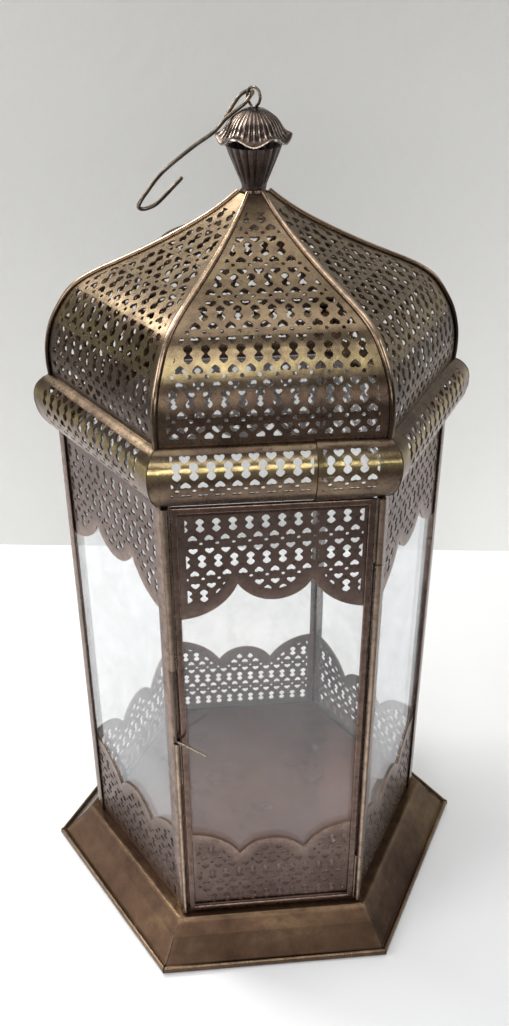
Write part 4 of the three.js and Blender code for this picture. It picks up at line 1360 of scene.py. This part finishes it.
# -------------------------------------------------------------------- finial
def build_finial():
    # fluted cup
    nf, n = 18, 18 * 10
    out_p = resample([(6.35, 447.3), (6.7, 449.3), (7.9, 452.6), (9.8, 457.2), (12.0, 462.4), (13.6, 466.5), (14.1, 468.0)], 0.7)
    in_p = resample([(13.3, 468.0), (12.7, 466.4), (11.0, 462.2), (8.8, 457.0), (6.9, 452.6), (5.7, 449.3), (3.1, 448.3)], 1.0)
    prof = [tuple(p) for p in out_p] + [tuple(p) for p in in_p] + [(3.1, 447.3)]
    no = len(out_p)

    def flute(r, z, a, j):
        t = min(1.0, max(0.0, (z - 448.5) / 6.0))
        c = math.cos(nf * a)
        amp = (0.38 + 0.22 * (z - 447) / 21) * t
        shape = (abs(math.cos(nf * a / 2)) ** 0.7) * 2 - 1
        if j < no or r > 6.6:
            return (r + amp * (shape - 0.55) * (1 if j < no else 0.8), z)
        return (r, z)
    V, F = lathe(prof, n, flute)
    a = np.arctan2(V[:, 1], V[:, 0])
    crest = np.clip(np.abs(np.cos(nf * a / 2)), 0, 1) ** 14
    zz = V[:, 2]
    j = np.tile(np.arange(len(prof)), n)
    wear = crest * (j < no) * 0.6 * np.clip((zz - 449) / 6, 0, 1)
    o = make("cup_fluted", V, F, M["cup"], wear=wear)
    auto_sharp(o, 55)
    place(o, "lantern_body", "dark_bronze", "finial_cup")

    # flower: six petals, each with radiating flutes and a curled lip
    prof = resample([(19.1, 471.2), (18.9, 471.9), (17.9, 472.7), (16.2, 473.9), (14.9, 475.6), (13.6, 477.9), (11.7, 480.4), (8.5, 483.1), (5.4, 485.0), (3.05, 485.6)], 0.40)[::-1]
    na = 6 * 44
    V, W = [], []
    rings = len(prof)
    th = 0.75
    grid = np.zeros((na, rings, 3))
    wear = np.zeros((na, rings))
    for i in range(na):
        ang = 360.0 * i / na
        ph = ((ang - (-95.0) + 30.0) % 60.0) - 30.0          # 0 at a petal's centre
        x = ph / 30.0
        for j, (r, z) in enumerate(prof):
            q = max(0.0, min(1.0, (r - 5.0) / 14.0))
            q2 = q * q
            edge = math.exp(-((1 - abs(x)) / 0.20) ** 2)
            droop = -1.75 * math.cos(math.pi * x) * q2 * q ** 0.6
            rr = r - 0.35 * (1 + math.cos(math.pi * x)) * q2 + 0.35 * q2
            fade = 1.0 - min(1.0, max(0.0, (q - 0.72) / 0.20)) ** 2
            fl = math.cos(math.pi * 6 * x)                       # six flutes across a petal
            bumpf = 0.44 * fl * math.sin(min(1.0, q * 1.15) * math.pi * 0.55) * (0.35 + 0.65 * q) * fade
            valley = -0.55 * edge * math.sin(q * math.pi) * fade
            zz = z + droop + bumpf + valley
            zz = min(zz, 485.75)
            grid[i, j] = (rr * math.cos(d2r(ang)), rr * math.sin(d2r(ang)), zz)
            crest = max(0.0, fl) ** 5 * min(1.0, q * 1.6) * 0.8 * fade
            wear[i, j] = crest
    # prof runs from the centre outwards, so the rim is the last column
    for j in range(rings):
        d = rings - 1 - j
        wear[:, j] = np.clip(wear[:, j] + math.exp(-(d / 1.6) ** 2) * 1.0, 0, 1)
    # normals for thickness
    du = np.roll(grid, -1, 0) - np.roll(grid, 1, 0)
    dv = np.gradient(grid, axis=1)
    nn = np.cross(du, dv)
    nn /= np.linalg.norm(nn, axis=2)[:, :, None] + 1e-9
    if nn[0, rings // 2, 2] < 0:
        nn = -nn
    # thickness: a copy under the top surface, closed at the rim and at the centre
    under = grid - nn * th
    V = np.vstack([grid.reshape(-1, 3), under.reshape(-1, 3)])
    n1 = na * rings
    F = []
    up = np.cross(grid[1, 1] - grid[0, 1], grid[0, 2] - grid[0, 1])[2] > 0
    for i in range(na):
        i2 = (i + 1) % na
        for j in range(rings - 1):
            q = (i * rings + j, i2 * rings + j, i2 * rings + j + 1, i * rings + j + 1)
            q2 = tuple(n1 + k for k in q[::-1])
            F.append(q if up else q[::-1])
            F.append(q2 if up else q2[::-1])
        for j, fl in ((0, 1), (rings - 1, -1)):
            q = (i * rings + j, n1 + i * rings + j, n1 + i2 * rings + j, i2 * rings + j)
            if (fl < 0) == up:
                q = q[::-1]
            F.append(q[::-1])
    wv = np.concatenate([wear.ravel(), wear.ravel() * 0.2])
    V[:, 2] = np.minimum(V[:, 2], 485.85)
    o = make("flower_petals", V, F, M["flower"], wear=wv)
    fix_normals(o)
    auto_sharp(o, 70)
    place(o, "lantern_body", "dark_bronze", "finial_flower")


def fix_normals(o):
    import bmesh
    bm = bmesh.new()
    bm.from_mesh(o.data)
    bmesh.ops.recalc_face_normals(bm, faces=bm.faces)
    bm.to_mesh(o.data)
    bm.free()


LOOP_AZ = d2r(-55)


def on_loop(s, h, z):
    hx, hy = math.cos(LOOP_AZ), math.sin(LOOP_AZ)
    fx, fy = math.cos(LOOP_AZ - math.pi / 2), math.sin(LOOP_AZ - math.pi / 2)
    return (s * hx + h * fx, s * hy + h * fy, z)


def build_wires():
    pts = [(-1.25, 441.0), (-1.25, 460), (-1.25, 478), (-1.35, 484.4), (-1.95, 486.3), (-3.9, 488.2), (-4.9, 490.7), (-3.7, 493.8),
           (0, 495.15), (3.7, 493.8), (4.9, 490.7), (3.9, 488.2), (1.95, 486.3), (1.35, 484.4), (1.25, 478), (1.25, 460), (1.25, 441.0)]
    V, F = wire_mesh([on_loop(s, 0.0, z) for s, z in pts], 0.74, 16, 0.5, flat_end=True)
    w = 0.25 + 0.75 * np.clip([noise.noise(Vector((p[0] * 0.4, p[1] * 0.4, p[2] * 0.3))) for p in V], 0, 1)
    place(make("loop_wire", V, F, M["wire"], wear=w), "lantern_body", "wire", "hanging_loop")
    path = [[-8.3, 10.9, 481.7], [-7.9, 7.4, 486.0], [-7.4, 3.3, 490.2], [-7.0, 0.4, 491.9],
            [-6.4, -1.8, 492.6], [-4.9, -3.0, 492.5], [-3.3, -2.1, 491.9], [-2.7, -0.3, 490.9],
            [-2.75, 1.4, 489.3], [-2.95, 2.8, 487.9], [-3.3, 4.2, 486.9], [-4.0, 6.0, 485.7],
            [-5.1, 8.8, 483.8], [-6.3, 13.3, 480.7], [-6.8, 20.5, 475.4], [-6.8, 34.1, 469.8],
            [-6.8, 52.2, 460.8], [-6.8, 62.6, 452.3], [-6.8, 66.4, 448.4], [-6.8, 66.9, 446.6],
            [-6.8, 64.6, 445.4], [-6.8, 60.2, 445.6], [-6.8, 55.0, 447.4], [-6.8, 41.0, 456.4]]
    V, F = wire_mesh([on_loop(*p) for p in path], 0.98, 18, 0.5)
    w = 0.35 + 0.65 * np.clip([1.3 * noise.noise(Vector((p[0] * 0.15, p[1] * 0.15, p[2] * 0.2 + 7))) for p in V], 0, 1)
    place(make("hook_wire", V, F, M["wire"], wear=w), "hook", "wire", "hook")


def build_ring():
    # inner flange ring between body and roof
    prof = fillet([(108.5, 317.4), (110.9, 317.4), (110.9, 318.25), (108.5, 318.25)], [0.25] * 4, 3)[::-1]
    V, F = hex_ring(prof, 20, amp=0.0)
    o = make("neck_flange", V, F, M["bronze"])
    fix_normals(o)
    auto_sharp(o, 40)
    place(o, "lantern_body", "dark_bronze", "top_ring")


def build_stage():
    # pale floor with painted shadow in front, to the right and far to the left, and a pale wall with painted light and
    # shade a little way behind it
    n, half = 40, 1.6
    V, F = [], []
    for j in range(n + 1):
        for i in range(n + 1):
            V.append((-2.2 + 4.4 * i / n, -2.2 + 3.0 * j / n, -0.0004))
    for j in range(n):
        for i in range(n):
            a = j * (n + 1) + i
            F.append((a, a + 1, a + n + 2, a + n + 1))
    me = bpy.data.meshes.new("studio_floor")
    me.from_pydata(V, [], F)
    m, nt, out = new_mat("floor_white")
    k = N(nt)
    tc = k.node("ShaderNodeTexCoord")
    col = k.ramp(k.noise(3.0, 4.0, 0.6, tc.outputs["Object"]), [(0.3, (0.84, 0.845, 0.855)), (0.7, (0.89, 0.895, 0.905))])
    sep = k.node("ShaderNodeSeparateXYZ")
    k.link(tc.outputs["Object"], sep.inputs[0])
    # painted shadow: the floor darkens in front of the lantern, from 0.28 m out
    col = k.mix(k.rng(sep.outputs["Y"], 1.0, 0.0, -0.52, -0.28), col, (0.16, 0.152, 0.147))
    # painted shadow to the right of the lantern
    col = k.mix(k.rng(sep.outputs["X"], 0.0, 0.16, 0.05, 0.30), col, (0.42, 0.41, 0.405))
    # painted shade: the floor darkens far to the left
    col = k.mix(k.rng(sep.outputs["X"], 0.55, 0.0, -1.0, -0.60), col, (0.20, 0.19, 0.185))
    bs = k.node("ShaderNodeBsdfPrincipled")
    k.link(col, bs.inputs["Base Color"])
    bs.inputs["Roughness"].default_value = 0.55
    k.link(bs.outputs["BSDF"], out.inputs["Surface"])
    me.materials.append(m)
    fl = bpy.data.objects.new("studio_floor", me)
    bpy.context.scene.collection.objects.link(fl)
    # wall, with painted light and shade
    V, F = [], []
    nx, nz = 30, 24
    for j in range(nz + 1):
        for i in range(nx + 1):
            x = -2.2 + 4.4 * i / nx
            V.append((x, WALL_Y - 0.125 * x, -0.001 + 2.4 * j / nz))
    for j in range(nz):
        for i in range(nx):
            a = j * (nx + 1) + i
            F.append((a, a + 1, a + nx + 2, a + nx + 1))
    me = bpy.data.meshes.new("studio_wall")
    me.from_pydata(V, [], F)
    m, nt, out = new_mat("wall_pale")
    k = N(nt)
    tc = k.node("ShaderNodeTexCoord")
    col = k.ramp(k.noise(2.0, 4.0, 0.6, tc.outputs["Object"]), [(0.3, (0.58, 0.58, 0.565)), (0.7, (0.63, 0.63, 0.615))])
    sep = k.node("ShaderNodeSeparateXYZ")
    k.link(tc.outputs["Object"], sep.inputs[0])
    # painted light: the wall brightens to the right
    col = k.mix(k.rng(sep.outputs["X"], 0.0, 0.8, 0.02, 0.36), col, (0.90, 0.90, 0.885))
    # painted shade: the wall darkens towards the top
    col = k.mix(k.rng(sep.outputs["Z"], 0.0, 0.62, 0.06, 0.52), col, (0.37, 0.37, 0.36))
    # painted shade: the wall darkens far to the left
    col = k.mix(k.rng(sep.outputs["X"], 0.6, 0.0, -0.85, -0.45), col, (0.17, 0.165, 0.16))
    bs = k.node("ShaderNodeBsdfPrincipled")
    k.link(col, bs.inputs["Base Color"])
    bs.inputs["Roughness"].default_value = 0.8
    bump = k.node("ShaderNodeBump")
    bump.inputs["Strength"].default_value = 0.12
    bump.inputs["Distance"].default_value = 0.004
    k.link(k.noise(70.0, 3.0, 0.6, tc.outputs["Object"]), bump.inputs["Height"])
    k.link(bump.outputs["Normal"], bs.inputs["Normal"])
    # seen from behind the wall is clear, so that the lantern's back can be looked at
    gm = k.node("ShaderNodeNewGeometry")
    inc = k.node("ShaderNodeSeparateXYZ")
    k.link(gm.outputs["Incoming"], inc.inputs[0])
    clear = k.node("ShaderNodeBsdfTransparent")
    both = k.node("ShaderNodeMixShader")
    k.link(k.math("GREATER_THAN", inc.outputs["Y"], 0.0), both.inputs[0])
    k.link(bs.outputs["BSDF"], both.inputs[1])
    k.link(clear.outputs["BSDF"], both.inputs[2])
    k.link(both.outputs["Shader"], out.inputs["Surface"])
    me.materials.append(m)
    wl = bpy.data.objects.new("studio_wall", me)
    bpy.context.scene.collection.objects.link(wl)


WALL_Y = 0.376


def area_light(name, loc, target, size, size_y, energy, colour=(1, 1, 1)):
    l = bpy.data.lights.new(name, "AREA")
    l.shape = "RECTANGLE"
    l.size, l.size_y = size, size_y
    l.energy = energy
    l.color = colour
    o = bpy.data.objects.new(name, l)
    o.location = loc
    d = Vector(target) - Vector(loc)
    o.rotation_euler = d.to_track_quat("-Z", "Y").to_euler()
    o.visible_camera = False
    bpy.context.scene.collection.objects.link(o)
    return o


def build_light():
    w = bpy.data.worlds.new("studio")
    bpy.context.scene.world = w
    w.use_nodes = True
    nt = w.node_tree
    nt.nodes.clear()
    k = N(nt)
    out = nt.nodes.new("ShaderNodeOutputWorld")
    bg = k.node("ShaderNodeBackground")
    tc = k.node("ShaderNodeTexCoord")
    sep = k.node("ShaderNodeSeparateXYZ")
    k.link(tc.outputs["Generated"], sep.inputs[0])
    col = k.ramp(k.rng(sep.outputs["Z"], 0.0, 1.0, -1.0, 1.0), [(0.38, (0.035, 0.033, 0.032)), (0.53, (0.20, 0.20, 0.20)), (0.70, (0.36, 0.37, 0.39)), (0.95, (0.60, 0.61, 0.63))])
    col = k.mix(1.0, col, k.ramp(k.rng(sep.outputs["X"], 0.0, 1.0, -1.0, 1.0), [(0.1, (1.0, 1.0, 1.0)), (0.9, (0.45, 0.45, 0.45))]), "MULTIPLY")
    k.link(col, bg.inputs["Color"])
    bg.inputs["Strength"].default_value = 1.0
    k.link(bg.outputs["Background"], out.inputs["Surface"])
    area_light("overhead", (0.0, 0.05, 1.7), (0, 0.1, 0.2), 1.5, 0.9, 7.5, (1.0, 0.99, 0.97))
    area_light("window_front", (-0.2, -1.9, 0.43), (0, 0, 0.36), 1.4, 0.26, 7.5, (1.0, 0.98, 0.94))
    area_light("window_high", (-0.25, -1.75, 1.62), (0, 0, 0.36), 1.3, 0.75, 11.5, (1.0, 0.985, 0.96))
    area_light("window_left", (-1.6, -0.6, 0.95), (0, 0, 0.2), 0.9, 0.9, 12.5, (0.98, 0.985, 1.0))
    area_light("card_left", (-1.7, 0.14, 0.26), (0, 0, 0.1), 0.6, 0.4, 2.7, (1.0, 0.97, 0.92))
    area_light("wall_wash", (-0.46, 0.40, 1.02), (0, 0, 0.42), 0.5, 0.4, 10.5, (1.0, 0.98, 0.93))
    area_light("window_right", (1.25, -0.35, 1.0), (0.35, 0.35, 0.1), 0.6, 0.6, 3.2, (1.0, 1.0, 0.99))


def build_camera():
    az, el, ro = d2r(-5.222), d2r(30.093), d2r(-0.293)
    back = Vector((math.sin(az) * math.cos(el), -math.cos(az) * math.cos(el), math.sin(el)))
    fw = -back
    r = fw.cross(Vector((0, 0, 1))).normalized()
    u = r.cross(fw)
    R2 = r * math.cos(ro) + u * math.sin(ro)
    U2 = -r * math.sin(ro) + u * math.cos(ro)
    pos = (Vector((0, 0, 254.6 + LIFT)) + r * (-0.67) + back * 630.3) * 0.001
    cam = bpy.data.cameras.new("camera")
    cam.sensor_fit = "AUTO"
    cam.sensor_width = 36
    cam.lens = 1043.742 * 36 / 1026
    cam.clip_start, cam.clip_end = 0.01, 50
    o = bpy.data.objects.new("camera", cam)
    m = Matrix(((R2.x, U2.x, back.x, pos.x), (R2.y, U2.y, back.y, pos.y), (R2.z, U2.z, back.z, pos.z), (0, 0, 0, 1)))
    o.matrix_world = m
    bpy.context.scene.collection.objects.link(o)
    bpy.context.scene.camera = o


M["post"] = metal("post_bronze", (0.044, 0.027, 0.022), (0.080, 0.051, 0.042), (0.132, 0.089, 0.074), rough=(0.20, 0.36), wear_colour=(0.42, 0.30, 0.24), wear=0.8, streak=True)
M["seam"] = metal("seam_solder", (0.020, 0.014, 0.010), (0.060, 0.042, 0.028), (0.15, 0.11, 0.075), rough=(0.35, 0.6), patch=80, dents=0.8)

build_base()
hex_plate("inner_floor", 106.3, 23.75, 24.88, M["floor"], "lantern_body", "tray_metal", "floor_plate", 0.15)
build_posts()
build_walls()
build_ring()
build_door()
build_band()
build_roof()
build_finial()
build_wires()
build_stage()
build_light()
build_camera()
bpy.context.scene.view_settings.view_transform = "Standard"
